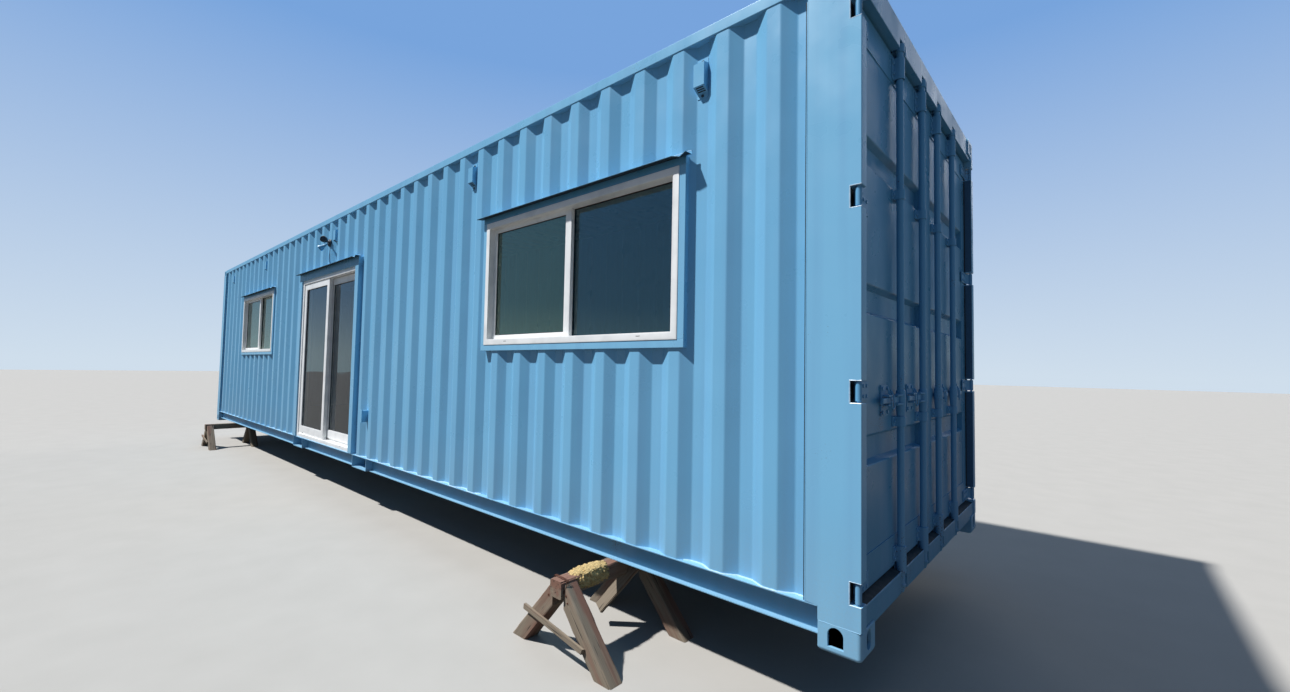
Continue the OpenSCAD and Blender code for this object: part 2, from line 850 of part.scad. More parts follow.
fixed_x0 = patio_x - patio_inner;
fixed_x1 = patio_x + patio_overlap / 2;
sliding_x0 = patio_x - patio_overlap / 2;
sliding_x1 = patio_x + patio_inner - slide_gap;
sliding_z0 = patio_foot + track_height + slide_gap;
sliding_z1 = patio_head - slide_gap;

module patio_fixed_panel() {
    color(vinyl) front() door_panel(fixed_x0, fixed_x1, outer_track, patio_foot, patio_head);
}

module patio_fixed_glass() {
    color(pane) front() door_pane(fixed_x0, fixed_x1, outer_track, patio_foot, patio_head);
}

module patio_sliding_panel() {
    runner = 60;
    track_y = inner_track + patio_panel / 2;
    color(vinyl) front() {
        door_panel(sliding_x0, sliding_x1, inner_track, sliding_z0, sliding_z1);
        for (x = [sliding_x0 + 60, sliding_x1 - 60 - runner])
            block([x, track_y - 7, patio_foot + track_height + runner_gap],
                [x + runner, track_y + 7, sliding_z0 + cut]);
    }
}

module patio_sliding_glass() {
    color(pane) front() door_pane(sliding_x0, sliding_x1, inner_track, sliding_z0, sliding_z1);
}

// Pull handle on the sliding panel's stile next to the jamb
module patio_handle() {
    x = sliding_x1 - patio_stile / 2;
    y = inner_track + patio_panel;
    z = rail_top + 1000;
    color(vinyl) front() {
        block([x - 14, y, z - 130], [x + 14, y + 5, z + 130]);
        for (dz = [-90, 70]) block([x - 8, y + 5, z + dz], [x + 8, y + 28, z + dz + 20]);
        block([x - 8, y + 28, z - 90], [x + 8, y + 40, z + 90]);
    }
}

// Vent covers in the valleys under the top rail, the same on both long walls
first_valley_x = hl - first_crest_from_door_end - wall_pitch - wall_crest - wall_slope;
valley_width = wall_pitch - wall_crest - 2 * wall_slope;
last_vent = floor((first_valley_x - blind_wall_x) / wall_pitch) - 2;
vent_valleys = [0, 8, round(last_vent / 2), last_vent - 8, last_vent];

module vent_cover(x) {
    top = top_rail_under - vent_drop;
    flange = 26;
    half = vent_width / 2;
    out = valley_y + vent_proud;
    profile = [[valley_y, top], [valley_y + 3, top], [valley_y + 3, top - flange],
        [out, top - flange - 10], [out, top - vent_height + flange + 24],
        [valley_y + 3, top - vent_height + flange], [valley_y + 3, top - vent_height],
        [valley_y, top - vent_height]];
    translate([x - half, 0, 0]) rotate([90, 0, 90]) linear_extrude(vent_width) polygon(profile);
}

module vent_covers() {
    color(paint) lifted() for (sy = [-1, 1]) in_quadrant(1, sy) for (k = vent_valleys)
        vent_cover(first_valley_x - k * wall_pitch - valley_width / 2);
}

module outlet_box() {
    half = outlet_width / 2;
    room = first_valley_x - valley_width / 2 - (patio_x + patio_half) - half - 40;
    x = first_valley_x - valley_width / 2 - floor(room / wall_pitch) * wall_pitch;
    color(paint) front() {
        block([x - half, valley_y, outlet_z - outlet_height / 2],
            [x + half, valley_y + outlet_depth, outlet_z + outlet_height / 2]);
        block([x - half - 4, valley_y + outlet_depth, outlet_z - outlet_height / 2 - 4],
            [x + half + 4, valley_y + outlet_depth + 12, outlet_z + outlet_height / 2 + 4]);
    }
}

// Lamp with two heads on a round plate over the patio door
module lamp_head(turn, tip) {
    rotate([0, 0, turn]) rotate([tip, 0, 0]) {
        cylinder(r = 9, h = 50, $fn = round_fn);
        translate([0, 0, 40]) cylinder(r1 = 15, r2 = 36, h = 56, $fn = round_fn);
        translate([0, 0, 96]) cylinder(r = 38, h = 14, $fn = round_fn);
    }
}

module floodlight() {
    crest_x = first_valley_x + wall_slope + wall_crest / 2;
    x = crest_x - round((crest_x - patio_x - lamp_from_patio) / wall_pitch) * wall_pitch;
    color(lamp_colour) front() translate([x, crest_y, body_height - lamp_drop]) {
        rotate([-90, 0, 0]) cylinder(r = 46, h = 26, $fn = round_fn);
        translate([14, 22, 8]) lamp_head(-40, -84);
        translate([-14, 22, -8]) lamp_head(42, -125);
    }
}

// Cargo door leaves, drawn at +Y
leaf_out = hl - leaf_setback;
leaf_in = leaf_out - leaf_thickness;
leaf_sheet = leaf_out - leaf_sheet_inset;
leaf_y0 = leaf_gap_centre / 2;
leaf_y1 = hw - door_post_width - leaf_gap_post;
leaf_z0 = sill_top + leaf_gap_rail;
leaf_z1 = header_underside - leaf_gap_rail;
band_drop = 10;
band_spacing = (leaf_z1 - leaf_z0) * 4 / 15;
band_heights = [for (i = [-1 : 1]) (leaf_z0 + leaf_z1) / 2 - band_drop + i * band_spacing];

// Upright section of a leaf's sheet, with its pressed bands
function band_profile(x, thick) =
    let (s = 18, d = band_depth,
         line = concat([[leaf_z0 + leaf_rail - cut, 0]],
             [for (z = band_heights) for (p = [[-band_height / 2, 0],
                 [-band_height / 2 + s, d], [band_height / 2 - s, d], [band_height / 2, 0]])
                 [z + p[0], p[1]]],
             [[leaf_z1 - leaf_rail + cut, 0]]), n = len(line))
    concat([for (p = line) [x - p[1], p[0]]],
        [for (i = [n - 1 : -1 : 0]) [x - line[i][1] - thick, line[i][0]]]);

module leaf() {
    difference() {
        block([leaf_in, leaf_y0, leaf_z0], [leaf_out, leaf_y1, leaf_z1]);
        block([leaf_in - cut, leaf_y0 + leaf_stile, leaf_z0 + leaf_rail],
            [leaf_out + cut, leaf_y1 - leaf_stile, leaf_z1 - leaf_rail]);
    }
    translate([0, leaf_y1 - leaf_stile + cut, 0])
        rotate([90, 0, 0])
            linear_extrude(leaf_y1 - leaf_y0 - 2 * leaf_stile + 2 * cut)
                polygon(band_profile(leaf_sheet, sheet));
}

module leaf_gasket() {
    x0 = leaf_in + 8;
    difference() {
        block([x0, leaf_y0 - gasket_centre, leaf_z0 - gasket_end],
            [x0 + gasket_depth, leaf_y1 + gasket_side, leaf_z1 + gasket_end]);
        block([x0 - cut, leaf_y0, leaf_z0], [x0 + gasket_depth + cut, leaf_y1, leaf_z1]);
    }
}

module hinge_blade() {
    pin_x = hl - pin_from_end;
    pin_y = hw - pin_from_side;
    half = pin_r;
    difference() {
        translate([0, 0, -blade_height / 2]) linear_extrude(blade_height) {
            translate([leaf_out, leaf_y1 - blade_reach])
                square([blade_thickness, pin_y + half - leaf_y1 + blade_reach]);
            translate([leaf_out, pin_y - half]) square([pin_x - leaf_out, 2 * half]);
            translate([pin_x, pin_y]) circle(knuckle_r, $fn = round_fn);
        }
        translate([pin_x, pin_y, -blade_height / 2 - cut])
            cylinder(r = pin_r + pin_clearance, h = blade_height + 2 * cut, $fn = round_fn);
    }
}

module leaf_hinges() {
    hinge_heights() hinge_blade();
}

rod_x = hl - rod_from_end;
collar = 6;

// Guide round a rod between two heights, its plate on the face at base
module rod_guide(base, low, high) {
    foot = max(low, leaf_z0 + 4);
    r = rod_r + collar;
    difference() {
        union() {
            block([base, -bracket_width / 2, foot], [leaf_out + 5, bracket_width / 2, high]);
            block([leaf_out, -r, foot], [rod_x, r, high]);
            translate([rod_x, 0, low]) cylinder(r = r, h = high - low, $fn = round_fn);
        }
        translate([rod_x, 0, low - cut])
            cylinder(r = rod_r + pin_clearance, h = high - low + 2 * cut, $fn = round_fn);
    }
}

handle_x = rod_x - 12;

// Catch that a handle lies in, open outwards
module handle_catch() {
    gap = handle_bar / 2 + 5;
    lip = 8;
    block([leaf_sheet, -50, -72], [leaf_out + 3, 50, 72]);
    for (s = [-1, 1]) mirror([0, 0, s < 0 ? 1 : 0])
        block([leaf_out, -30, gap], [handle_x + handle_thickness + lip, 30, gap + lip]);
}

module leaf_fittings() {
    sleeve_low = leaf_z0 - sleeve_drop;
    upper_strap_z = body_height - upper_strap_drop;
    for (y = [inner_rod_y, outer_rod_y]) translate([0, y, 0]) {
        rod_guide(leaf_out, sleeve_low, sleeve_low + sleeve_height);
        for (z = [lower_strap_z, upper_strap_z])
            rod_guide(leaf_sheet, z - strap_height / 2, z + strap_height / 2);
        rod_guide(leaf_out, leaf_z1 - guide_height, leaf_z1);
        translate([0, catch_distance, handle_z]) handle_catch();
    }
}

module at_near() {
    lifted() mirror([0, 1, 0]) children();
}

module near_leaf() { color(paint) at_near() leaf(); }
module near_leaf_gasket() { color(rubber) at_near() leaf_gasket(); }
module near_leaf_hinges() { color(paint) at_near() leaf_hinges(); }
module near_leaf_fittings() { color(paint) at_near() leaf_fittings(); }
module far_leaf() { color(paint) lifted() leaf(); }
module far_leaf_gasket() { color(rubber) lifted() leaf_gasket(); }
module far_leaf_hinges() { color(paint) lifted() leaf_hinges(); }
module far_leaf_fittings() { color(paint) lifted() leaf_fittings(); }

// Lock rod with a cam at each end and a handle that points away from the middle, drawn at +Y
rod_foot = sill_top - recess_height + rod_end_gap;
rod_head = header_underside + recess_height - rod_end_gap;

module cam() {
    cylinder(r = rod_r + 6, h = cam_height, $fn = round_fn);
    block([-cam_reach, -cam_width / 2, 4], [0, cam_width / 2, cam_height - 4]);
}

module lock_rod(y) {
    hub_height = 52;
    translate([rod_x, y, 0]) {
        translate([0, 0, rod_foot])
            cylinder(r = rod_r, h = rod_head - rod_foot, $fn = round_fn);
        translate([0, 0, rod_foot]) cam();
        translate([0, 0, rod_head - cam_height]) cam();
        translate([0, 0, handle_z - hub_height / 2])
            cylinder(r = rod_r + collar, h = hub_height, $fn = round_fn);
        block([handle_x - rod_x, 0, handle_z - handle_bar / 2],
            [handle_x - rod_x + handle_thickness, handle_length, handle_z + handle_bar / 2]);
    }
}

module near_outer_lock_rod() { color(paint) at_near() lock_rod(outer_rod_y); }
module near_inner_lock_rod() { color(paint) at_near() lock_rod(inner_rod_y); }
module far_inner_lock_rod() { color(paint) lifted() lock_rod(inner_rod_y); }
module far_outer_lock_rod() { color(paint) lifted() lock_rod(outer_rod_y); }

// Sawhorses, one under each end of each side rail
beam_top = ground_clearance + bottom_rail_lift;
beam_end = hw + beam_out;

module at_horses() {
    for (sx = [-1, 1]) for (sy = [-1, 1])
        translate([sx * (hl - horse_from_end), 0, 0])
            mirror([0, sy < 0 ? 1 : 0, 0]) children();
}

module sawhorse_beams() {
    color(timber_colour) at_horses()
        block([-timber / 2, beam_end - beam_length, beam_top - timber],
            [timber / 2, beam_end, beam_top]);
}

module sawhorse_leg() {
    side = timber / 2;
    top = beam_top - 14;
    foot = leg_spread - timber * 1.3;
    low = top - timber * 1.5;
    translate([0, timber / 2, 0]) rotate([90, 0, 0]) linear_extrude(timber)
        polygon([[side, low], [side, top], [leg_spread, 0], [foot, 0]]);
}

module sawhorse_legs() {
    color(timber_colour) at_horses()
        for (y = [beam_end - leg_from_end, beam_end - beam_length + leg_from_end])
            translate([0, y, 0]) for (s = [-1, 1]) mirror([s < 0 ? 1 : 0, 0, 0]) sawhorse_leg();
}

module sawhorse_braces() {
    y = beam_end - leg_from_end + timber / 2;
    color(timber_colour) at_horses()
        block([-270, y, 120], [270, y + 18, 155]);
}

bottom_corner_castings();
top_corner_castings();
door_end_posts();
blind_end_posts();
top_side_rails();
bottom_side_rails();
fork_pocket_sides();
fork_pocket_plates();
door_header();
door_sill();
cam_keepers();
blind_end_rails();
crossmembers();
floor();
roof_panel();
back_wall();
blind_end_wall();
front_wall_piers();
front_wall_spandrels();
opening_trim_jambs();
opening_trim_rails();
drip_caps();
near_window_frame();
near_window_sash();
near_window_glass();
far_window_frame();
far_window_sash();
far_window_glass();
patio_frame_jambs();
patio_frame_rails();
patio_fixed_panel();
patio_fixed_glass();
patio_sliding_panel();
patio_sliding_glass();
patio_handle();
vent_covers();
floodlight();
outlet_box();
near_leaf();
near_leaf_gasket();
near_leaf_hinges();
near_leaf_fittings();
far_leaf();
far_leaf_gasket();
far_leaf_hinges();
far_leaf_fittings();
near_outer_lock_rod();
near_inner_lock_rod();
far_inner_lock_rod();
far_outer_lock_rod();
sawhorse_beams();
sawhorse_legs();
sawhorse_braces();
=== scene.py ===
# %% [markdown]
# # A shipping container cabin
# The cabin is a forty-foot steel container with two windows, a sliding patio door and its old cargo
# doors, and it stands on four timber sawhorses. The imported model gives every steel, vinyl and
# timber piece at its real size. This script adds the finishes and the small pieces that a CAD model
# leaves out: rolled edges, weld beads, bolts, glazing rubber, screws, nails and worn timber.

# %% Load the frame
import json
import math

import bpy
import bmesh
from mathutils import Matrix, Vector, noise


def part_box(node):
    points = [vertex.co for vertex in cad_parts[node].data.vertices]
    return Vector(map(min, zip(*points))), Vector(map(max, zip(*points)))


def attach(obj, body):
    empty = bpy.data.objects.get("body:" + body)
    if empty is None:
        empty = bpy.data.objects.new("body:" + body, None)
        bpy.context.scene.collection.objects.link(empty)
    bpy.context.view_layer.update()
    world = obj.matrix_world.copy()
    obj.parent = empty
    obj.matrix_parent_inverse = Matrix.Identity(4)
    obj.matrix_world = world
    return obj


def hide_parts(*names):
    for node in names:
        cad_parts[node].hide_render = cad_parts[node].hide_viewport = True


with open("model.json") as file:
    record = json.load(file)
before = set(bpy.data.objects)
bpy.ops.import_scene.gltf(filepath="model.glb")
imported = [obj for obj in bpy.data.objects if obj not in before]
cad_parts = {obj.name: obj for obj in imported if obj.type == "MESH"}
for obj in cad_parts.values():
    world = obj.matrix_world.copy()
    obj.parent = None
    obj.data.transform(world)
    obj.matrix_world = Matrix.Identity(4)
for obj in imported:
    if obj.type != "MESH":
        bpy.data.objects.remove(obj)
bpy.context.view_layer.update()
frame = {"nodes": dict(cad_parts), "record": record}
nodes = frame["nodes"]
record = frame["record"]
slot_of = {part["node"]: part["material_slot"] for part in record["subparts"]}
body_of = {node: body for body, group in record["behaviour"]["bodies"].items() for node in group}

# %% [markdown]
# The camera stands a few steps from the cargo door corner, at eye height, with a wide phone lens.
# Its place and its three turns come from the castings, posts and rails seen in the photograph, and
# the focal length is 518.6 pixels in a picture 1290 pixels wide.

# %% Place the camera
PICTURE_WIDTH = 1290
FOCAL_PIXELS = 518.6
SENSOR = 36.0
YAW, PITCH, ROLL = math.radians(-41.37), math.radians(2.52), math.radians(1.07)

bpy.ops.object.camera_add(location=(6.813, -3.341, 1.488))
camera = bpy.context.object
camera.data.sensor_width = SENSOR
camera.data.lens = SENSOR * FOCAL_PIXELS / PICTURE_WIDTH
camera.data.clip_start, camera.data.clip_end = 0.05, 500
ahead = Vector((math.sin(YAW) * math.cos(PITCH), math.cos(YAW) * math.cos(PITCH), math.sin(PITCH)))
level_right = Vector((math.cos(YAW), -math.sin(YAW), 0))
level_up = level_right.cross(ahead)
right = level_right * math.cos(ROLL) + level_up * math.sin(ROLL)
up = level_up * math.cos(ROLL) - level_right * math.sin(ROLL)
camera.rotation_euler = Matrix((right, up, -ahead)).transposed().to_euler()
bpy.context.scene.camera = camera
bpy.context.scene.view_settings.view_transform = "Standard"
print("lens", round(camera.data.lens, 2), "mm")

# %% [markdown]
# A finish is a small graph of nodes. One function turns a written colour to the linear values that
# the renderer works in, one sets or links a node's inputs, and one adds a node with its settings
# and links. A node given as an input stands for its result.

# %% Helpers for materials
def linear(colour):
    """Linear RGBA of an sRGB hex colour such as #6FAED8."""
    parts = [int(colour[i:i + 2], 16) / 255 for i in (1, 3, 5)]
    return [*(c / 12.92 if c <= 0.04045 else ((c + 0.055) / 1.055) ** 2.4 for c in parts), 1.0]


def set_inputs(tree, node, inputs):
    """Give a node its inputs, each a value, a node or an output socket."""
    for name, value in inputs.items():
        if isinstance(value, bpy.types.Node):
            value = next(socket for socket in value.outputs if socket.enabled)
        if isinstance(value, bpy.types.NodeSocket):
            tree.links.new(value, node.inputs[name])
        else:
            node.inputs[name].default_value = value


def add_node(tree, kind, inputs=None, **settings):
    """Add a shader node. The settings come first, because they can change its sockets."""
    made = tree.nodes.new("ShaderNode" + kind)
    for name, value in settings.items():
        setattr(made, name, value)
    set_inputs(tree, made, inputs or {})
    return made


def new_material(name, **inputs):
    """A material with its tree, its shader and its Object coordinates."""
    material = bpy.data.materials.new(name)
    material.use_nodes = True
    tree = material.node_tree
    shader = tree.nodes["Principled BSDF"]
    set_inputs(tree, shader, {key.replace("_", " "): value for key, value in inputs.items()})
    return material, tree, shader, add_node(tree, "TexCoord").outputs["Object"]


# %% [markdown]
# The studio is a pale floor under a pale blue sky. A key lamp stands high in front of the window
# wall and to its left, so that the corrugations show light and dark sides and the cargo doors stay
# in soft shade, as they do outdoors. A weak, broad lamp stands behind. What the sky lights and
# mirrors is deeper than the backdrop, with haze near the ground. Bounced light sees a darker floor
# than the camera does, because paper this pale would fill every shadow.

# %% Floor, backdrop and lamps
FLOOR_HALF = 90.0
PAPER_PALE, PAPER_DARK, PAPER_BOUNCE = "#B4B0A9", "#AAA69F", "#5F5A54"
SKY_LOW, SKY_HIGH = "#CFDEEC", "#78A4DC"
LIT_HAZE, LIT_LOW, LIT_HIGH = "#C2D8E0", "#8FB0CC", "#6A98CE"
SKY_FILL, SKY_GLOSS = 0.34, 0.74

bpy.ops.object.select_all(action="DESELECT")
bpy.ops.mesh.primitive_plane_add(size=2 * FLOOR_HALF, location=(0, 0, -0.001))
floor = bpy.context.object
floor.name = "studio_floor"
paper, tree, shader, place = new_material("Pale studio paper", Roughness=0.9)
seen = add_node(tree, "LightPath").outputs["Is Camera Ray"]
grain = add_node(tree, "TexNoise", {"Vector": place, "Scale": 3.0, "Detail": 4.0})
tone = add_node(tree, "Mix", {0: grain, 6: linear(PAPER_PALE), 7: linear(PAPER_DARK)},
                data_type="RGBA")
shown = add_node(tree, "Mix", {0: seen, 6: linear(PAPER_BOUNCE), 7: tone}, data_type="RGBA")
set_inputs(tree, shader, {"Base Color": shown})
floor.data.materials.append(paper)

world = bpy.data.worlds.new("Studio sky")
bpy.context.scene.world = world
world.use_nodes = True
tree = world.node_tree
tree.nodes.clear()
ray_way = add_node(tree, "TexCoord").outputs["Generated"]
height = add_node(tree, "SeparateXYZ", {0: ray_way}).outputs["Z"]
climb = add_node(tree, "MapRange", {"Value": height, "From Min": 0.0, "From Max": 0.5})
sky = add_node(tree, "Mix", {0: climb, 6: linear(SKY_LOW), 7: linear(SKY_HIGH)}, data_type="RGBA")
near_ground = add_node(tree, "MapRange", {"Value": height, "From Min": 0.02, "From Max": 0.12})
lit = add_node(tree, "Mix", {0: near_ground, 6: linear(LIT_HAZE), 7: linear(LIT_LOW)},
               data_type="RGBA")
lit = add_node(tree, "Mix", {0: climb, 6: lit, 7: linear(LIT_HIGH)}, data_type="RGBA")
rays = add_node(tree, "LightPath").outputs
shown = add_node(tree, "Mix", {0: rays["Is Camera Ray"], 6: lit, 7: sky}, data_type="RGBA")
mirrored_rays = add_node(tree, "Math", {0: rays["Is Glossy Ray"], 1: rays["Is Transmission Ray"]},
                         operation="MAXIMUM")
level = add_node(tree, "MapRange", {"Value": mirrored_rays, "To Min": SKY_FILL,
                                    "To Max": SKY_GLOSS})
level = add_node(tree, "MapRange", {"Value": rays["Is Camera Ray"], "To Min": level,
                                    "To Max": 1.0})
sky_light = add_node(tree, "Background", {"Color": shown, "Strength": level})
add_node(tree, "OutputWorld", {"Surface": sky_light})


def add_lamp(name, towards, strength, softness):
    """A far lamp that shines from a direction, given as a vector towards it."""
    bpy.ops.object.light_add(type="SUN", location=Vector(towards) * 20)
    lamp = bpy.context.object
    lamp.name = name
    lamp.rotation_euler = Vector(towards).to_track_quat("Z", "Y").to_euler()
    lamp.data.energy = strength
    lamp.data.angle = math.radians(softness)


add_lamp("key_lamp", (-0.35, -0.44, 0.83), 5.2, 2)
add_lamp("back_lamp", (-0.15, 0.90, 0.45), 0.6, 40)
print("floor", 2 * FLOOR_HALF, "m wide, lamps", len(bpy.data.lights))

# %% [markdown]
# The steel is painted with sky-blue alkyd enamel, sprayed in one coat over old paint and dents. It
# is glossy, so flat sheet shows slow waves and close up an orange peel. Passes of the gun leave
# faint upright bands. Road dust lies on the lowest steel, and a few chips on the frame, the leaves
# and the door gear show rust. One function makes the enamel, and its amounts set how much each
# group of pieces shows of these.

# %% Blue enamel
def blue_enamel(name, deep, pale, waves, rust=0.0, rough=0.30):
    """Sprayed enamel. Waves are in metres of height, and rust is a share of the surface."""
    enamel, tree, shader, place = new_material(name, Roughness=rough)
    patches = add_node(tree, "TexNoise", {"Vector": place, "Scale": 0.9, "Detail": 3.0})
    tone = add_node(tree, "Mix", {0: patches, 6: linear(deep), 7: linear(pale)}, data_type="RGBA")
    # The bands are about 70 mm wide and run from rail to rail.
    drawn = add_node(tree, "Mapping", {"Vector": place, "Scale": (14.0, 14.0, 0.45)})
    bands = add_node(tree, "TexNoise", {"Vector": drawn, "Scale": 1.0, "Detail": 2.0})
    faint = add_node(tree, "MapRange", {"Value": bands, "From Min": 0.42, "From Max": 0.70,
                                        "To Max": 0.30})
    # Dust is thickest at the foot, 0.40 m up, and gone at 0.95 m. Its specks are about 8 mm.
    height = add_node(tree, "SeparateXYZ", {0: place}).outputs["Z"]
    low = add_node(tree, "MapRange", {"Value": height, "From Min": 0.95, "From Max": 0.40,
                                      "To Max": 0.30})
    specks = add_node(tree, "TexNoise", {"Vector": place, "Scale": 120.0, "Detail": 4.0})
    dusty = add_node(tree, "Math", {0: low, 1: specks}, operation="MULTIPLY")
    layers = [(faint, "#72A4CA"), (dusty, "#9A948A")]
    if rust:
        # Chips are 2 to 5 mm across and come in groups about 0.3 m apart.
        groups = add_node(tree, "TexNoise", {"Vector": place, "Scale": 3.2, "Detail": 2.0})
        chips = add_node(tree, "TexNoise", {"Vector": place, "Scale": 160.0, "Detail": 2.0})
        both = add_node(tree, "Math", {0: groups, 1: chips}, operation="MULTIPLY")
        edge = 0.46 - rust
        bare = add_node(tree, "MapRange", {"Value": both, "From Min": edge,
                                           "From Max": edge + 0.02})
        layers.append((bare, "#5A3A2A"))
    for amount, colour in layers:
        tone = add_node(tree, "Mix", {0: amount, 6: tone, 7: linear(colour)}, data_type="RGBA")
    # Gloss falls where dust lies and varies with the coat.
    haze = add_node(tree, "TexNoise", {"Vector": place, "Scale": 5.0, "Detail": 4.0})
    gloss = add_node(tree, "MapRange", {"Value": haze, "From Min": 0.3, "From Max": 0.7,
                                        "To Min": rough - 0.06, "To Max": rough + 0.10})
    dull = add_node(tree, "Math", {0: gloss, 1: dusty}, operation="ADD")
    # Sheet waves are about 0.4 m long. Orange peel is really 1.5 mm across, drawn at 5 mm to show.
    slow = add_node(tree, "TexNoise", {"Vector": place, "Scale": 2.4, "Detail": 1.0})
    bent = add_node(tree, "Bump", {"Height": slow, "Strength": 1.0, "Distance": waves})
    peel = add_node(tree, "TexNoise", {"Vector": place, "Scale": 200.0, "Detail": 1.0})
    skin = add_node(tree, "Bump", {"Height": peel, "Strength": 1.0, "Distance": 0.00006,
                                   "Normal": bent})
    set_inputs(tree, shader, {"Base Color": tone, "Roughness": dull, "Normal": skin})
    return enamel


wall_enamel = blue_enamel("Sky blue alkyd enamel on sheet", "#6DAFD6", "#7FBADC", waves=0.0045)
frame_enamel = blue_enamel("Sky blue alkyd enamel on frame", "#76B5D9", "#88C1E1", waves=0.0022,
                           rust=0.01)
# A deeper copy of the same enamel. Its darker tone is painted shade, for the door end and for faces
# that lie in shade.
deeper_enamel_painted_shade = blue_enamel("Deeper sky blue enamel, painted shade of the door end", "#4F93B8", "#60A1C3",
                          waves=0.0030, rust=0.03)
gear_enamel = blue_enamel("Sky blue alkyd enamel on door gear", "#5A9CC4", "#6CA8CE",
                          waves=0.0010, rust=0.05, rough=0.36)
print("enamels", [enamel.name for enamel in (wall_enamel, frame_enamel, deeper_enamel_painted_shade, gear_enamel)])

# %% [markdown]
# The windows and the patio door are white uPVC extrusions. Vinyl is smooth and a little waxy: it is
# less shiny than the enamel. Drawing it through the die leaves fine lines, and hands and rain leave
# a grey bloom.

# %% White vinyl
vinyl, tree, shader, place = new_material("White uPVC extrusion", Roughness=0.32, IOR=1.53)
bloom = add_node(tree, "TexNoise", {"Vector": place, "Scale": 7.0, "Detail": 5.0})
faint = add_node(tree, "MapRange", {"Value": bloom, "From Min": 0.45, "From Max": 0.75})
tone = add_node(tree, "Mix", {0: faint, 6: linear("#F7F7F5"), 7: linear("#E4E5E4")},
                data_type="RGBA")
gloss = add_node(tree, "MapRange", {"Value": bloom, "To Min": 0.24, "To Max": 0.46})
# Die lines are under 0.5 mm apart, drawn 4 mm apart so that they show.
lines = add_node(tree, "TexNoise", {"Vector": place, "Scale": 240.0, "Detail": 1.0})
bump = add_node(tree, "Bump", {"Height": lines, "Strength": 1.0, "Distance": 0.00004})
set_inputs(tree, shader, {"Base Color": tone, "Roughness": gloss, "Normal": bump})
print(vinyl.name)

# %% [markdown]
# Float glass is flat, with some green from its iron and a grey-blue coat against the sun. Each
# window has double panes with four mirroring faces: one pane with a higher index stands for them.
# A film of yard dust dulls them a little, so the roughness isn't zero all over.

# %% Float glass
def float_glass(name, tint, coat, index):
    glass, tree, shader, place = new_material(name, Base_Color=linear(tint), IOR=index,
                                              Transmission_Weight=1.0, Roughness=0.0,
                                              Specular_Tint=linear(coat))
    film = add_node(tree, "TexNoise", {"Vector": place, "Scale": 2.5, "Detail": 6.0})
    dull = add_node(tree, "MapRange", {"Value": film, "From Min": 0.5, "From Max": 0.8,
                                       "To Max": 0.03})
    # Panes bow by about a millimetre over half a metre, which bends what they mirror.
    bow = add_node(tree, "TexNoise", {"Vector": place, "Scale": 1.6, "Detail": 0.0})
    bump = add_node(tree, "Bump", {"Height": bow, "Strength": 1.0, "Distance": 0.0012})
    set_inputs(tree, shader, {"Roughness": dull, "Normal": bump})
    return glass


# The sash glass's paler tint and higher index paint the sky that the sash pane mirrors.
sash_glass_painted_sky = float_glass("Float glass of the sash panes, painted sky reflection", "#A9D6CC", "#F4FFE4", 2.3)
fixed_glass = float_glass("Float glass of the fixed panes", "#9FC2D6", "#E1FFFA", 2.0)
patio_glass = float_glass("Float glass of the patio door", "#A9B8BC", "#F4FAFF", 2.0)
# The far glass's paler tint and high index paint the bright haze that its panes mirror.
far_glass_painted_haze = float_glass("Float glass of the far window, painted haze reflection", "#B4DCD2", "#F4FFF0", 3.2)
print("glasses", [glass.name for glass in (sash_glass_painted_sky, fixed_glass, patio_glass, far_glass_painted_haze)])

# %% [markdown]
# Door gaskets and glazing seals are extruded EPDM rubber, near black and matte, with grey dust in
# the folds.

# %% Rubber
rubber, tree, shader, place = new_material("Extruded EPDM rubber", Roughness=0.72, IOR=1.5)
dust = add_node(tree, "TexNoise", {"Vector": place, "Scale": 30.0, "Detail": 5.0})
faint = add_node(tree, "MapRange", {"Value": dust, "From Min": 0.45, "From Max": 0.8,
                                    "To Max": 0.5})
tone = add_node(tree, "Mix", {0: faint, 6: linear("#16191C"), 7: linear("#4A4B4B")},
                data_type="RGBA")
# Mould grain of about 1 mm, drawn at 3 mm.
grain = add_node(tree, "TexNoise", {"Vector": place, "Scale": 330.0})
bump = add_node(tree, "Bump", {"Height": grain, "Strength": 1.0, "Distance": 0.0003})
set_inputs(tree, shader, {"Base Color": tone, "Normal": bump})
print(rubber.name)

# %% [markdown]
# The floor is 28 mm marine plywood, oiled and scuffed. The grain of its face veneer runs along the
# cabin, so the noise is stretched along X.

# %% Plywood
plywood, tree, shader, place = new_material("Oiled marine plywood", Roughness=0.55)
# Face grain: lines about 6 mm apart and over half a metre long.
drawn = add_node(tree, "Mapping", {"Vector": place, "Scale": (1.6, 150.0, 150.0)})
lines = add_node(tree, "TexNoise", {"Vector": drawn, "Scale": 1.0, "Detail": 4.0})
tone = add_node(tree, "Mix", {0: lines, 6: linear("#5C4029"), 7: linear("#94704A")},
                data_type="RGBA")
scuff = add_node(tree, "TexNoise", {"Vector": place, "Scale": 4.0, "Detail": 6.0})
worn = add_node(tree, "MapRange", {"Value": scuff, "From Min": 0.5, "From Max": 0.75,
                                   "To Max": 0.6})
tone = add_node(tree, "Mix", {0: worn, 6: tone, 7: linear("#7E7468")}, data_type="RGBA")
bump = add_node(tree, "Bump", {"Height": lines, "Strength": 0.6, "Distance": 0.0006})
set_inputs(tree, shader, {"Base Color": tone, "Normal": bump})
print(plywood.name)

# %% [markdown]
# The sawhorses are old construction softwood. Sun has turned it grey, the grain stands up where the
# soft part has worn away, and a red stain is left on some faces. The pattern follows each board:
# the board's own lengthwise, crosswise and depth places are kept in an attribute named grain.

# %% Weathered softwood
timber, tree, shader, _ = new_material("Weathered softwood", Roughness=0.85)
along_board = add_node(tree, "Attribute", attribute_name="grain").outputs["Vector"]
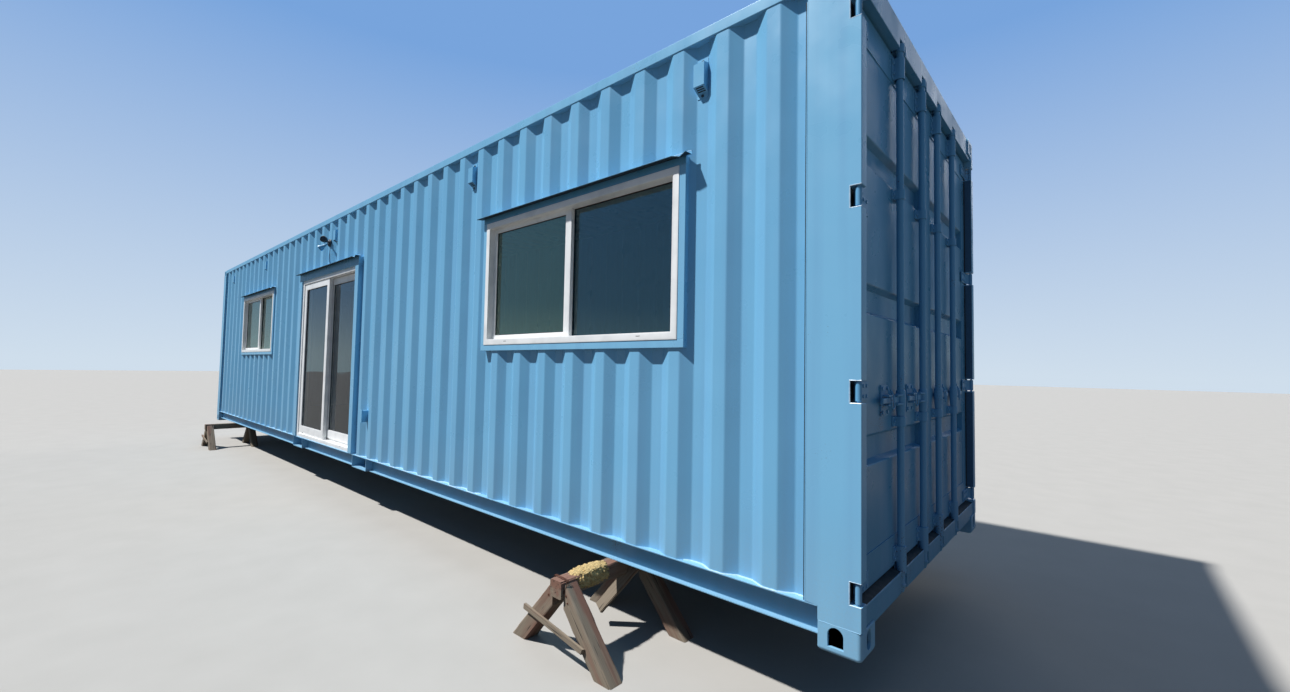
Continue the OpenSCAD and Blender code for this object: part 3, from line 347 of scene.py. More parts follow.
# Growth rings cut lengthwise: about 5 mm apart, wandering over 0.3 m.
drawn = add_node(tree, "Mapping", {"Vector": along_board, "Scale": (3.0, 190.0, 190.0)})
rings = add_node(tree, "TexNoise", {"Vector": drawn, "Scale": 1.0, "Detail": 5.0,
                                    "Roughness": 0.6, "Distortion": 0.4})
tone = add_node(tree, "Mix", {0: rings, 6: linear("#54463A"), 7: linear("#A99B86")},
                data_type="RGBA")
# What is left of the stain lies in patches about 0.1 m wide and 0.6 m long.
wide = add_node(tree, "Mapping", {"Vector": along_board, "Scale": (1.5, 9.0, 9.0)})
left = add_node(tree, "TexNoise", {"Vector": wide, "Scale": 1.0, "Detail": 4.0})
red = add_node(tree, "MapRange", {"Value": left, "From Min": 0.50, "From Max": 0.64,
                                  "To Max": 0.62})
# Checks: dark cracks along the grain, 1 mm wide and drawn at 3 mm.
thin = add_node(tree, "Mapping", {"Vector": along_board, "Scale": (5.0, 90.0, 90.0),
                                  "Location": (3.1, 1.7, 0.4)})
checks = add_node(tree, "TexNoise", {"Vector": thin, "Scale": 1.0, "Detail": 2.0})
crack = add_node(tree, "MapRange", {"Value": checks, "From Min": 0.36, "From Max": 0.30})
for amount, colour in ((red, "#7C4636"), (crack, "#231B17")):
    tone = add_node(tree, "Mix", {0: amount, 6: tone, 7: linear(colour)}, data_type="RGBA")
relief = add_node(tree, "Math", {0: rings, 1: crack}, operation="SUBTRACT")
bump = add_node(tree, "Bump", {"Height": relief, "Strength": 1.0, "Distance": 0.0012})
set_inputs(tree, shader, {"Base Color": tone, "Normal": bump})
print(timber.name)

# %% [markdown]
# The small pieces have simpler finishes: two close tones and a fine grain. The lamp has a dark
# textured powder coat and smoked glass. Screws are zinc plated, and nails and wire have rusted.
# The foot weld's pale finish is a painted highlight and the notch rims have a pale finish. The dark
# finish under the drip caps and the dark strips beside the leaves are painted shade. Sealant is
# painted over, and old spray foam is yellow with dark pits.

# %% Finishes of the small pieces
def fine_finish(name, dark, light, size_mm, relief_mm, **inputs):
    """A finish of two close tones with a grain of one size, both in millimetres."""
    finish, tree, shader, place = new_material(name, **inputs)
    grain = add_node(tree, "TexNoise", {"Vector": place, "Scale": 1000 / size_mm, "Detail": 3.0})
    tone = add_node(tree, "Mix", {0: grain, 6: linear(dark), 7: linear(light)}, data_type="RGBA")
    bump = add_node(tree, "Bump", {"Height": grain, "Strength": 1.0, "Distance": relief_mm / 1000})
    set_inputs(tree, shader, {"Base Color": tone, "Normal": bump})
    return finish


powder_coat = fine_finish("Dark textured powder coat", "#1B232B", "#2C3640", 3, 0.10,
                          Roughness=0.48)
lamp_glass = fine_finish("Smoked lamp glass", "#0C1218", "#141C26", 20, 0.01, Roughness=0.08)
zinc = fine_finish("Zinc plate", "#8F9396", "#C3C6C8", 6, 0.03, Roughness=0.38, Metallic=1.0)
rusty_steel = fine_finish("Rusty nail steel", "#3B2418", "#74432B", 4, 0.20, Roughness=0.8)
shaded_underside_finish = fine_finish("Dark underside, painted shade", "#1B2A35", "#2A3B47", 9, 0.05, Roughness=0.6)
pale_rim_finish = fine_finish("Pale finish of the notch rims", "#A9CFE8", "#E2F0F8", 6, 0.10, Roughness=0.35)
foot_weld_painted_highlight = fine_finish("Pale enamel, painted highlight of the foot weld", "#8FC3E4", "#D2E8F4", 9, 0.15,
                        Roughness=0.3)
painted_shade_strip = fine_finish("Dark navy strip, painted shade of the posts' inner faces", "#2F526E", "#446E8E", 9, 0.2, Roughness=0.6)
silicone = fine_finish("Paintable silicone", "#7FB2D6", "#A3C9E2", 12, 0.40, Roughness=0.42)
foam = fine_finish("Cured spray foam", "#3A240E", "#F8D894", 11, 5.0, Roughness=0.9)

finishes = {"blue_paint": wall_enamel, "white_vinyl": vinyl, "window_glass": fixed_glass,
            "door_rubber": rubber, "plywood": plywood, "dark_lamp_paint": powder_coat,
            "weathered_timber": timber}
for name, node in nodes.items():
    node.data.materials.clear()
    node.data.materials.append(finishes[slot_of[name]])
print("finishes", len(bpy.data.materials))

# %% [markdown]
# Real steel has no knife edges: sheet is folded round a radius, tube corners are rounded, and cast
# corners are cleaned with a grinder. CAD leaves them sharp, and a sharp edge catches no light. Each
# steel and vinyl piece is therefore shown by a copy with rolled edges, which stands for its CAD
# node. The copy's loose triangles are merged, edges inside a flat face are dissolved, and only the
# edges that turn by a chosen angle and have room on both sides are bevelled. Two helpers do the
# selecting: one runs operators on a whole mesh, and one selects what passes a test.

# %% Copies with rolled edges
ROOM = 2.1    # a face beside a rolled edge is at least this many radii wide


def new_piece(name, data):
    """A new object for a mesh or a curve, linked to the scene."""
    obj = bpy.data.objects.new(name, data)
    bpy.context.collection.objects.link(obj)
    return obj


def select_only(*objects):
    """Leave only these objects selected, the first one active."""
    bpy.ops.object.select_all(action="DESELECT")
    for obj in objects:
        obj.select_set(True)
    bpy.context.view_layer.objects.active = objects[0]


def edit_all(obj, *steps):
    """Run edit mode operators in turn on all of a piece. A step is an operator and its settings."""
    select_only(obj)
    bpy.ops.object.mode_set(mode="EDIT")
    for operator, settings in steps:
        bpy.ops.mesh.select_all(action="SELECT")
        operator(**settings)
    bpy.ops.object.mode_set(mode="OBJECT")


def edit_chosen(obj, kind, wanted):
    """Go to edit mode with only the edges or faces selected that pass a test, and count them."""
    select_only(obj)
    bpy.ops.object.mode_set(mode="EDIT")
    bpy.ops.mesh.select_mode(type=kind)
    bpy.ops.mesh.select_all(action="DESELECT")
    mesh = bmesh.from_edit_mesh(obj.data)
    parts = mesh.edges if kind == "EDGE" else mesh.faces
    for part in parts:
        part.select = wanted(part)
    mesh.select_flush_mode()
    bmesh.update_edit_mesh(obj.data)
    return sum(part.select for part in parts)


def width_beside(edge, face):
    """How far a face reaches from one of its edges, square to the edge."""
    start = edge.verts[0].co
    along = (edge.verts[1].co - start).normalized()
    return max((v.co - start - along * (v.co - start).dot(along)).length for v in face.verts)


def roll_edges(obj, radius, segments=2, least=40, most=140, both_ways=False):
    """Bevel the edges that turn by least to most degrees and have room for the radius."""
    def to_roll(edge):
        if len(edge.link_faces) != 2:
            return False
        turn = math.degrees(edge.calc_face_angle_signed(0.0))
        turn = abs(turn) if both_ways else turn
        return (least < turn < most
                and all(width_beside(edge, face) > ROOM * radius for face in edge.link_faces))

    count = edit_chosen(obj, "EDGE", to_roll)
    if count:
        bpy.ops.mesh.bevel(offset=radius, segments=segments, affect="EDGES", clamp_overlap=False)
    bpy.ops.object.mode_set(mode="OBJECT")
    return count


def merged_copy(node):
    """An editable copy of a CAD node's mesh."""
    obj = new_piece(node + "_shown", nodes[node].data.copy())
    select_only(obj)
    bpy.ops.mesh.customdata_custom_splitnormals_clear()
    edit_all(obj, (bpy.ops.mesh.remove_doubles, {"threshold": 1e-5}),
             (bpy.ops.mesh.dissolve_limited, {"angle_limit": math.radians(0.5)}))
    return obj


def keep(obj, name, finish, slot, body="cabin", stands_for=(), crease=32, even=True):
    """Bring a piece to the origin, smooth it, give it its finish and make it ride."""
    obj.name = name
    obj.data.name = name
    select_only(obj)
    bpy.ops.object.transform_apply(location=True, rotation=True, scale=True)
    bpy.ops.object.shade_smooth_by_angle(angle=math.radians(crease))
    if even:
        # Normals weighted by area keep wide faces flat between their rolled edges.
        weighted = obj.modifiers.new("even", "WEIGHTED_NORMAL")
        weighted.keep_sharp = True
        bpy.ops.object.modifier_apply(modifier=weighted.name)
    obj.data.materials.clear()
    obj.data.materials.append(finish)
    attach(obj, body)
    if stands_for:
        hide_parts(*stands_for)
    return obj


def second_finish(obj, finish, wanted):
    """Give the faces that pass a test a finish of their own."""
    obj.data.materials.append(finish)
    for face in obj.data.polygons:
        if wanted(face):
            face.material_index = 1


def hold_in_box(obj, node):
    """Keep every point of a piece inside the box of its CAD node."""
    low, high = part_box(node)
    for vertex in obj.data.vertices:
        vertex.co = [min(max(v, a), b) for v, a, b in zip(vertex.co, low, high)]


def rolled(node, radius, finish, segments=3, crease=32, change=None, **turns):
    """Show a CAD node by a copy with rolled edges, after a change of shape if one is given."""
    obj = merged_copy(node)
    if change:
        for vertex in obj.data.vertices:
            vertex.co = change(vertex.co)
    count = roll_edges(obj, radius, segments, **turns)
    hold_in_box(obj, node)
    keep(obj, node + "_shown", finish, slot_of[node], body_of[node], [node], crease)
    print(node, "edges rolled", count, "faces", len(obj.data.polygons))
    return obj


# %% [markdown]
# Corrugated sheet is pressed from 2 mm steel. Its bends turn by 28 to 66 degrees and are rolled to
# 6 mm, both on the outside and on the inside, while the cut edges of the sheet stay sharp. The
# pressed panels of the cargo door leaves have 5 mm bends.

# %% Corrugated sheets
SHEET_BEND, LEAF_BEND = 0.006, 0.005
for node in ("front_wall_piers", "front_wall_spandrels", "back_wall", "blind_end_wall",
             "roof_panel"):
    rolled(node, SHEET_BEND, wall_enamel, crease=40, least=15, most=75, both_ways=True)
# The leaves take the deeper enamel, whose tone paints the shade of the door end.
for node in ("near_leaf", "far_leaf"):
    rolled(node, LEAF_BEND, deeper_enamel_painted_shade, least=20)

# %% [markdown]
# Posts, rails, header and sill are folded plate and tube with corners of about 3.5 mm, and the door
# gear is cut plate with 1.5 mm edges. Some pieces change a little before their edges are rolled:
# the cams' recesses are narrow, low slots, the lock rods end in them, and each rod's foot tapers.
# The bottom rails' webs are set deep enough to lie wholly in shade. The webs, and the trim's front
# faces over the openings in the caps' shadow, take the deeper enamel as painted shade.

# %% Frame and door gear
PLATE_EDGE, TUBE_EDGE, GEAR_EDGE, KEEPER_EDGE = 0.0035, 0.0025, 0.0015, 0.0012
RECESS_TOP, CAD_RECESS_TOP = 3.150, 3.216
ROD_YS = (-0.60, -0.18, 0.18, 0.60)
ROD_AXIS_X, ROD_RADIUS = 6.073, 0.024
WEB_SETBACK, FLANGE_EDGE = 0.015, 1.190


def low_recess(point):
    """Bring the ceilings of the tall recesses down to the low slots."""
    if abs(point.z - CAD_RECESS_TOP) < 1e-3:
        return Vector((point.x, point.y, RECESS_TOP))
    return point


def narrow_recess(point):
    """Bring the sides of a cam's recess and its keeper's ears close to the cam."""
    for rod_y in ROD_YS:
        off = point.y - rod_y
        for old, new in ((0.075, 0.048), (0.056, 0.048), (0.042, 0.041)):
            if abs(abs(off) - old) < 1e-3:
                return Vector((point.x, rod_y + math.copysign(new, off), point.z))
    return point


def low_and_narrow(point):
    """Both changes, for the header and the keepers."""
    return narrow_recess(low_recess(point))


def short_rod(node):
    """A change that ends a rod 10 mm inside the low slot and tapers its foot to half its width."""
    low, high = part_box(node)
    axis_y = {"inner": 0.18, "outer": 0.60}[node.split("_")[1]]
    axis_y *= 1 if node.startswith("far") else -1

    def change(point):
        off_x, off_y = point.x - ROD_AXIS_X, point.y - axis_y
        if point.z > 3.1:
            return point - Vector((0, 0, high.z - RECESS_TOP + 0.010))
        if point.z < low.z + 1e-4 and math.hypot(off_x, off_y) < ROD_RADIUS:
            return Vector((ROD_AXIS_X + 0.5 * off_x, axis_y + 0.5 * off_y, point.z))
        return point
    return change


def deep_web(point):
    """Set the bottom rail's web back and shorten its lower flange to 34 mm."""
    side, out = math.copysign(1, point.y), abs(point.y)
    if 1.166 < out < 1.172:
        return Vector((point.x, side * (out - WEB_SETBACK), point.z))
    if point.z < 0.404 and out > 1.218:
        return Vector((point.x, side * FLANGE_EDGE, point.z))
    return point


for node in ("door_end_posts", "blind_end_posts", "top_side_rails", "blind_end_rails",
             "fork_pocket_sides", "fork_pocket_plates"):
    rolled(node, PLATE_EDGE, frame_enamel)
rolled("crossmembers", PLATE_EDGE, frame_enamel, change=deep_web)
rails = rolled("bottom_side_rails", PLATE_EDGE, frame_enamel, change=deep_web)
# The webs' deeper enamel is painted shade.
second_finish(rails, deeper_enamel_painted_shade,
              lambda face: abs(face.normal.y) > 0.9 and abs(face.center.y) < 1.160)
# The sill and the header take the deeper enamel as painted shade of the door end.
rolled("door_sill", PLATE_EDGE, deeper_enamel_painted_shade, change=narrow_recess)
rolled("door_header", PLATE_EDGE, deeper_enamel_painted_shade, change=low_and_narrow)
rolled("opening_trim_jambs", TUBE_EDGE, frame_enamel)
trim = rolled("opening_trim_rails", TUBE_EDGE, frame_enamel)
# The trim's front faces over the openings take the deeper enamel as painted shadow of the caps.
second_finish(trim, deeper_enamel_painted_shade, lambda face: face.normal.y < -0.9 and face.center.z > 2.45)
rolled("cam_keepers", KEEPER_EDGE, gear_enamel, segments=2, change=low_and_narrow)
for node in ("near_leaf_fittings", "far_leaf_fittings"):
    rolled(node, GEAR_EDGE, gear_enamel, segments=2)
for rod in ("near_outer", "near_inner", "far_inner", "far_outer"):
    node = rod + "_lock_rod"
    rolled(node, GEAR_EDGE, gear_enamel, segments=2, change=short_rod(node))

# %% [markdown]
# The corner castings are thick and worn round. Their outer edges, which lie on two of the
# container's outer planes, are rounded to 18 mm, and their apertures to 3 mm.

# %% Corner castings
HALF_LENGTH, HALF_WIDTH, FEET, HEADS = 6.096, 1.219, 0.350, 3.246


def at_outside(edge):
    """Whether an edge of a casting lies on two of the container's outer planes."""
    middle = (edge.verts[0].co + edge.verts[1].co) / 2
    planes = [abs(abs(middle.x) - HALF_LENGTH) < 1e-3, abs(abs(middle.y) - HALF_WIDTH) < 1e-3,
              min(abs(middle.z - FEET), abs(middle.z - HEADS)) < 1e-3]
    return sum(planes) == 2


for node in ("bottom_corner_castings", "top_corner_castings"):
    casting = merged_copy(node)
    edit_chosen(casting, "EDGE", at_outside)
    bpy.ops.mesh.bevel(offset=0.018, segments=6, affect="EDGES", clamp_overlap=False)
    bpy.ops.object.mode_set(mode="OBJECT")
    roll_edges(casting, 0.003)
    hold_in_box(casting, node)
    keep(casting, node + "_shown", frame_enamel, "blue_paint", stands_for=[node])
    print(node, "faces", len(casting.data.polygons))

# %% [markdown]
# A vinyl extrusion has steps: an outer fin against the trim, a body that stands a little prouder,
# and glazing beads. On the copy, the front faces are inset and the middle band is pushed out by 2
# or 3 mm, which gives the fin and the inner step at once. Then all edges are rolled to 0.8 mm.

# %% Vinyl frames
VINYL_EDGE = 0.0008


def vinyl_piece(node, inset, push):
    """Show a vinyl node with the front faces inset and their middle pushed out."""
    obj = merged_copy(node)
    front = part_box(node)[0].y
    edit_chosen(obj, "FACE", lambda face: (face.normal.y < -0.99
                                           and abs(face.calc_center_median().y - front) < 1e-4))
    bpy.ops.mesh.inset(thickness=inset, depth=0, use_even_offset=True)
    bpy.ops.transform.translate(value=(0, -push, 0))
    bpy.ops.object.mode_set(mode="OBJECT")
    roll_edges(obj, VINYL_EDGE)
    keep(obj, node + "_shown", vinyl, slot_of[node], body_of[node], [node])
    print(node, "faces", len(obj.data.polygons))


for side in ("near", "far"):
    vinyl_piece(side + "_window_frame", 0.008, 0.002)
    vinyl_piece(side + "_window_sash", 0.007, 0.002)
for part in ("jambs", "rails"):
    vinyl_piece("patio_frame_" + part, 0.009, 0.002)
for part in ("fixed", "sliding"):
    vinyl_piece("patio_" + part + "_panel", 0.014, 0.003)
rolled("patio_handle", 0.002, vinyl)

# %% [markdown]
# New pieces start from a block, a bar or a bead. A block is a cube between two corners. A bar is a
# cylinder between two points. A bead is a curve with a round section that follows points, made a
# mesh. What repeats is modelled once and copied by a list of moves, each copy with its own mesh,
# then joined.

# %% Blocks, bars, copies and beads
MIRROR = Matrix.Diagonal((1, -1, 1, 1))


def add_block(corner, opposite):
    """A box between two opposite corners, to be shaped further."""
    low, high = list(map(min, corner, opposite)), list(map(max, corner, opposite))
    bpy.ops.object.select_all(action="DESELECT")
    bpy.ops.mesh.primitive_cube_add(size=1, location=[(a + b) / 2 for a, b in zip(low, high)])
    obj = bpy.context.object
    obj.scale = [b - a for a, b in zip(low, high)]
    bpy.ops.object.transform_apply(location=True, rotation=True, scale=True)
    return obj


def add_bar(start, end, radius, sides=12):
    """A round bar between two points."""
    start, end = Vector(start), Vector(end)
    bpy.ops.object.select_all(action="DESELECT")
    bpy.ops.mesh.primitive_cone_add(vertices=sides, radius1=radius, radius2=radius,
                                    depth=(end - start).length, location=(start + end) / 2,
                                    rotation=(end - start).to_track_quat("Z", "Y").to_euler())
    bpy.ops.object.transform_apply(location=True, rotation=True, scale=True)
    return bpy.context.object


def soften(obj, radius, segments=2):
    """Round all the outer edges of a new piece, by a live bevel that is then applied."""
    select_only(obj)
    bevel = obj.modifiers.new("edge", "BEVEL")
    bevel.width, bevel.segments, bevel.angle_limit = radius, segments, math.radians(40)
    bpy.ops.object.modifier_apply(modifier=bevel.name)
    return obj


def join(parts):
    """Make one mesh of several pieces."""
    select_only(*parts)
    if len(parts) > 1:
        bpy.ops.object.join()
    return bpy.context.view_layer.objects.active


def moved(obj, move):
    """Move a piece's mesh, with its faces still outwards where the move is a mirror."""
    obj.data.transform(move)
    if move.determinant() < 0:
        obj.data.flip_normals()
    return obj


def shift(x, y, z):
    """A move without a turn."""
    return Matrix.Translation((x, y, z))


def copies(master, moves):
    """Copies of a piece at the origin, one for each move, joined. The piece itself is used up."""
    parts = [moved(new_piece(master.name, master.data.copy()), move) for move in moves]
    bpy.data.objects.remove(master)
    return join(parts)


def bead(lines, radius, ripple=0.35, step=0.007, sides=1):
    """A weld or caulk bead along each line of points, with the ripple of its making."""
    data = bpy.data.curves.new("bead", "CURVE")
    data.dimensions = "3D"
    data.bevel_depth = radius
    data.bevel_resolution = sides
    data.use_fill_caps = True
    for line in lines:
        points = []
        for a, b in zip(line, line[1:]):
            a, b = Vector(a), Vector(b)
            count = max(1, round((b - a).length / step))
            points += [a.lerp(b, i / count) for i in range(count)]
        points.append(Vector(line[-1]))
        spline = data.splines.new("POLY")
        spline.points.add(len(points) - 1)
        for target, point in zip(spline.points, points):
            rise = Vector((0, 0, 1)) * radius * ripple * 0.5 * noise.noise(point * 23)
            target.co = (*(point + rise), 1)
            target.radius = 1 + ripple * (0.6 * noise.noise(point * 55)
                                          + 0.4 * noise.noise(point * 140))
    obj = new_piece("bead", data)
    select_only(obj)
    bpy.ops.object.convert(target="MESH")
    return bpy.context.object


# %% [markdown]
# The sheets are welded to the rails along their foot, and to the posts up their sides. On the real
# cabin the bead along the foot catches the sun as a bright rough line, and the bead's pale finish
# is a painted highlight. The line of each bead comes from the sheet's own lowest points, so it
# follows every corrugation.

# %% Weld beads of the sheets
PANEL_GAP = 0.3    # points further apart than this belong to two runs of sheet
POST_EDGES = (5.863, -5.918)
SEAM_Y, SEAM_FOOT, SEAM_HEAD = 1.2172, 0.530, 3.120


def foot_lines(node, axis, side):
    """The outer outline of a sheet at its lowest height, as runs of points."""
    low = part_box(node)[0].z
    outline = {}
    for vertex in nodes[node].data.vertices:
        if vertex.co.z < low + 1e-4:
            key = round(vertex.co[axis], 3)
            outline[key] = max(outline.get(key, -99), vertex.co[1 - axis] * side)
    keys = sorted(outline)
    runs = [[keys[0]]]
    for a, b in zip(keys, keys[1:]):
        if b - a > PANEL_GAP:
            runs.append([])
        runs[-1].append(b)
    lines = [[(key, outline[key] * side, low) for key in run] for run in runs if len(run) > 1]
    return [[(y, x, z) for x, y, z in line] for line in lines] if axis else lines


lines = (foot_lines("front_wall_piers", 0, -1) + foot_lines("back_wall", 0, 1)
         + foot_lines("blind_end_wall", 1, -1))
# The bead's pale finish is a painted highlight.
keep(bead(lines, 0.0052, 0.5), "foot_weld_beads", foot_weld_painted_highlight, "blue_paint", even=False)
seams = [[(x, SEAM_Y * side, SEAM_FOOT), (x, SEAM_Y * side, SEAM_HEAD)]
         for side in (-1, 1) for x in POST_EDGES]
keep(bead(seams, 0.0030, 0.10), "post_seam_beads", frame_enamel, "blue_paint", even=False)
# A thin black line beside each bead, on the sheet's side of it, paints the seam's shadow.
gaps = [[(x - math.copysign(0.0062, x), y * 0.9988, z) for x, y, z in line] for line in seams]
keep(bead(gaps, 0.0019, 0.10), "post_seam_shadow_lines", rubber, "door_rubber", even=False)
print("weld lines", len(lines) + len(seams))

# %% [markdown]
# The castings are welded to the posts on both outer faces, over the bottom ones and under the top
# ones. The notches cut in the door posts for the hinges have a ground weld rim with a pale finish,
# and black pads at the back of each notch paint the shade inside it.

# %% Weld beads of the castings and the hinge notches
CASTING_LENGTH, CASTING_WIDTH, CASTING_HEIGHT = 0.178, 0.162, 0.118
SIDE_FACE, END_FACE = 1.2175, 6.0922
HINGE_HEIGHTS = (0.613, 1.411, 2.209, 3.007)
NOTCH_BACK, NOTCH_FRONT, NOTCH_HALF, RIM_Y = 6.0475, 6.0945, 0.0465, 1.2168

corner_lines = []
for x in (-HALF_LENGTH, HALF_LENGTH - CASTING_LENGTH):
    for y in (-HALF_WIDTH, HALF_WIDTH - CASTING_WIDTH):
        side_y, end_x = math.copysign(SIDE_FACE, y), math.copysign(END_FACE, x)
        for z in (FEET + CASTING_HEIGHT, HEADS - CASTING_HEIGHT):
            corner_lines.append([(x + 0.004, side_y, z), (x + CASTING_LENGTH - 0.004, side_y, z)])
            corner_lines.append([(end_x, y + 0.006, z), (end_x, y + CASTING_WIDTH - 0.006, z)])
keep(bead(corner_lines, 0.0024), "casting_weld_beads", frame_enamel, "blue_paint", even=False)
rims = []
for side in (-1, 1):
    for z in HINGE_HEIGHTS:
        rims.append([(x, RIM_Y * side, z + up) for x, up in (
            (NOTCH_FRONT, -NOTCH_HALF), (NOTCH_BACK, -NOTCH_HALF), (NOTCH_BACK, NOTCH_HALF),
            (NOTCH_FRONT, NOTCH_HALF))])
keep(bead(rims, 0.0030, 0.3), "hinge_notch_rims", pale_rim_finish, "blue_paint", even=False)
# Black pads at the backs of the notches paint the shade inside them.
backs = [add_block((6.0424, side * 1.162, z - 0.0435), (6.0442, side * 1.212, z + 0.0435))
         for z in HINGE_HEIGHTS for side in (-1, 1)]
keep(soften(join(backs), 0.0006, 1), "notch_shade_pads", rubber, "door_rubber")
print("casting beads", len(corner_lines), "notches", len(rims))

# %% [markdown]
# The drip caps are thin folded plate, screwed on and sealed, and nearly level. Near the right end
# of each the front lip has been knocked down, so that it catches the light. A cap's copy is cut
# across near that end, and the points of its front lip are moved. The caps' undersides lie in
# shade, and a dark finish on those faces paints that shade. Sealant runs along each cap's back.

# %% Drip caps
CAP_BACK, CAP_REACH, CAP_LIFT, LIP_LIFT = 1.226, 0.049, 0.018, 0.005
LIP_HEIGHTS = ((2.588, 2.5925), (2.637, 2.6415))    # the lower edges of the lifted lips
DENT_HALF = 0.045


def knocked_lips(node):
    """Lift the caps' fronts so that they lie nearly level, and dent each right end."""
    caps = merged_copy(node)
    ends = sorted({round(v.co.x, 4) for v in caps.data.vertices})[1:6:2]
    for end in ends:
        for back in (2 * DENT_HALF, DENT_HALF):
            edit_all(caps, (bpy.ops.mesh.bisect, {"plane_co": (end - back, 0, 0),
                                                  "plane_no": (1, 0, 0)}))
    for vertex in caps.data.vertices:
        front = min(max((-vertex.co.y - CAP_BACK) / CAP_REACH, 0), 1)
        vertex.co.z += CAP_LIFT * front
        if front > 0.8 and any(low < vertex.co.z < high for low, high in LIP_HEIGHTS):
            vertex.co.z += LIP_LIFT
        if vertex.co.y < -1.262:
            for end in ends:
                if abs(vertex.co.x - (end - DENT_HALF)) < 1e-3:
                    vertex.co += Vector((0.004, 0.006, -0.013))
                elif abs(vertex.co.x - end) < 1e-3:
                    vertex.co += Vector((0, 0.003, 0.005))
    return caps


caps = knocked_lips("drip_caps")
roll_edges(caps, 0.0007)
keep(caps, "drip_caps_shown", frame_enamel, "blue_paint", stands_for=["drip_caps"])
# The undersides' dark finish is painted shade.
second_finish(caps, shaded_underside_finish, lambda face: face.normal.z < -0.6 and face.center.y < -1.227)
seals, count = [], 24
for low_x, high_x, top in ((3.2655, 5.2405, 2.620), (-4.3725, -2.3975, 2.620),
                           (-1.242, 0.842, 2.669)):
    seals.append([(low_x + (high_x - low_x) * i / count, -1.2160,
                   top + 0.004 * noise.noise((i * 1.7, top, low_x))) for i in range(count + 1)])
keep(bead(seals, 0.0034, 0.5), "cap_seals", silicone, "blue_paint", even=False)
print("caps", len(caps.data.polygons), "faces")

# %% [markdown]
# A window's panes are held by black rubber, which shows as a thin dark line between vinyl and
# glass. A plane is inset, its middle is deleted, and the frame that is left is extruded.

# %% Glazing rubber
RUBBER_WIDTH = 0.0045


def facing_frame(low_x, high_x, low_z, high_z, face_y, depth):
    """A flat strip frame that faces the camera side, with its outer edge at the given sizes."""
    bpy.ops.object.select_all(action="DESELECT")
    bpy.ops.mesh.primitive_plane_add(
        size=1, location=((low_x + high_x) / 2, face_y, (low_z + high_z) / 2),
        rotation=(math.pi / 2, 0, 0))
    strip = bpy.context.object
    strip.scale = (high_x - low_x, high_z - low_z, 1)
    bpy.ops.object.transform_apply(location=True, rotation=True, scale=True)
    bpy.ops.object.mode_set(mode="EDIT")
    bpy.ops.mesh.select_mode(type="FACE")
    bpy.ops.mesh.select_all(action="SELECT")
    bpy.ops.mesh.inset(thickness=RUBBER_WIDTH, depth=0)
    bpy.ops.mesh.delete(type="FACE")
    bpy.ops.object.mode_set(mode="OBJECT")
    edit_all(strip, (bpy.ops.mesh.extrude_region_move,
                     {"TRANSFORM_OT_translate": {"value": (0, depth, 0)}}),
             (bpy.ops.mesh.normals_make_consistent, {"inside": False}))
    return strip


# The sash, on the left, slides in the outer track, so its rubber lies 22 mm further out.
for side, middle in (("near", 4.253), ("far", -3.385)):
    seals = [facing_frame(middle - 0.8365, middle - 0.046, 1.716, 2.484, -1.1785, 0.004),
             facing_frame(middle - 0.006, middle + 0.8725, 1.685, 2.515, -1.1560, 0.006)]
    keep(join(seals), side + "_window_rubber", rubber, "door_rubber")
for panel, face_y, body in (("fixed", -1.1850, "cabin"),
                            ("sliding", -1.1390, "patio_sliding_door")):
    low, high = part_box("patio_" + panel + "_glass")
    keep(facing_frame(low.x, high.x, low.z, high.z, face_y, 0.006), "patio_" + panel + "_rubber",
         rubber, "door_rubber", body)
print("glazing rubber", 1000 * RUBBER_WIDTH, "mm wide")

# %% [markdown]
# The near window's sash pane takes a paler, greener glass with a higher index than its fixed side,
# and this paints the brighter sky that it mirrors. The near panes' copy gets both glasses, by the
# side of the meeting stile that a face lies on. The far window's panes both take a paler glass with
# a still higher index, which paints the bright haze that they mirror. Water leaves the frames by
# short slots, drawn as thin black pieces that paint the shade inside them.

# %% Panes and weep holes
SASH_EDGE = 4.23
for side in ("near", "far"):
    panes = merged_copy(side + "_window_glass")
    keep(panes, side + "_window_glass_shown", fixed_glass if side == "near" else far_glass_painted_haze,
         "window_glass", stands_for=[side + "_window_glass"], even=False)
    if side == "near":
        second_finish(panes, sash_glass_painted_sky, lambda face: face.center.x < SASH_EDGE)
for node in ("patio_fixed_glass", "patio_sliding_glass"):
    nodes[node].data.materials.clear()
    nodes[node].data.materials.append(patio_glass)
# The weep slots are thin black pieces that paint the shade inside them.
weep = soften(add_block((-0.016, -0.0010, -0.0025), (0.016, 0.0010, 0.0025)), 0.0005, 1)
places = [shift(x, -1.2300, z) for x, z in ((3.62, 1.667), (4.90, 1.667), (-4.02, 1.667),
                                            (-2.74, 1.667), (-0.80, 0.600), (0.42, 0.600))]
keep(copies(weep, places), "weep_holes", rubber, "door_rubber")
print("panes and weep holes", len(places))

# %% [markdown]
# Black rubber lip seals lie on the sill and under the header, broken where the lock rods pass. They
# stand partly for the doors' real gaskets and partly for painted shade, since from the camera the
# gaps over and under the cargo doors are the darkest lines of the door end. Each strip is a block
# whose top is pinched to a lip. Black pads at the backs of the recesses behind the cams paint their
# shade, and a folded edge strip on each leaf narrows the dark gap that shows.

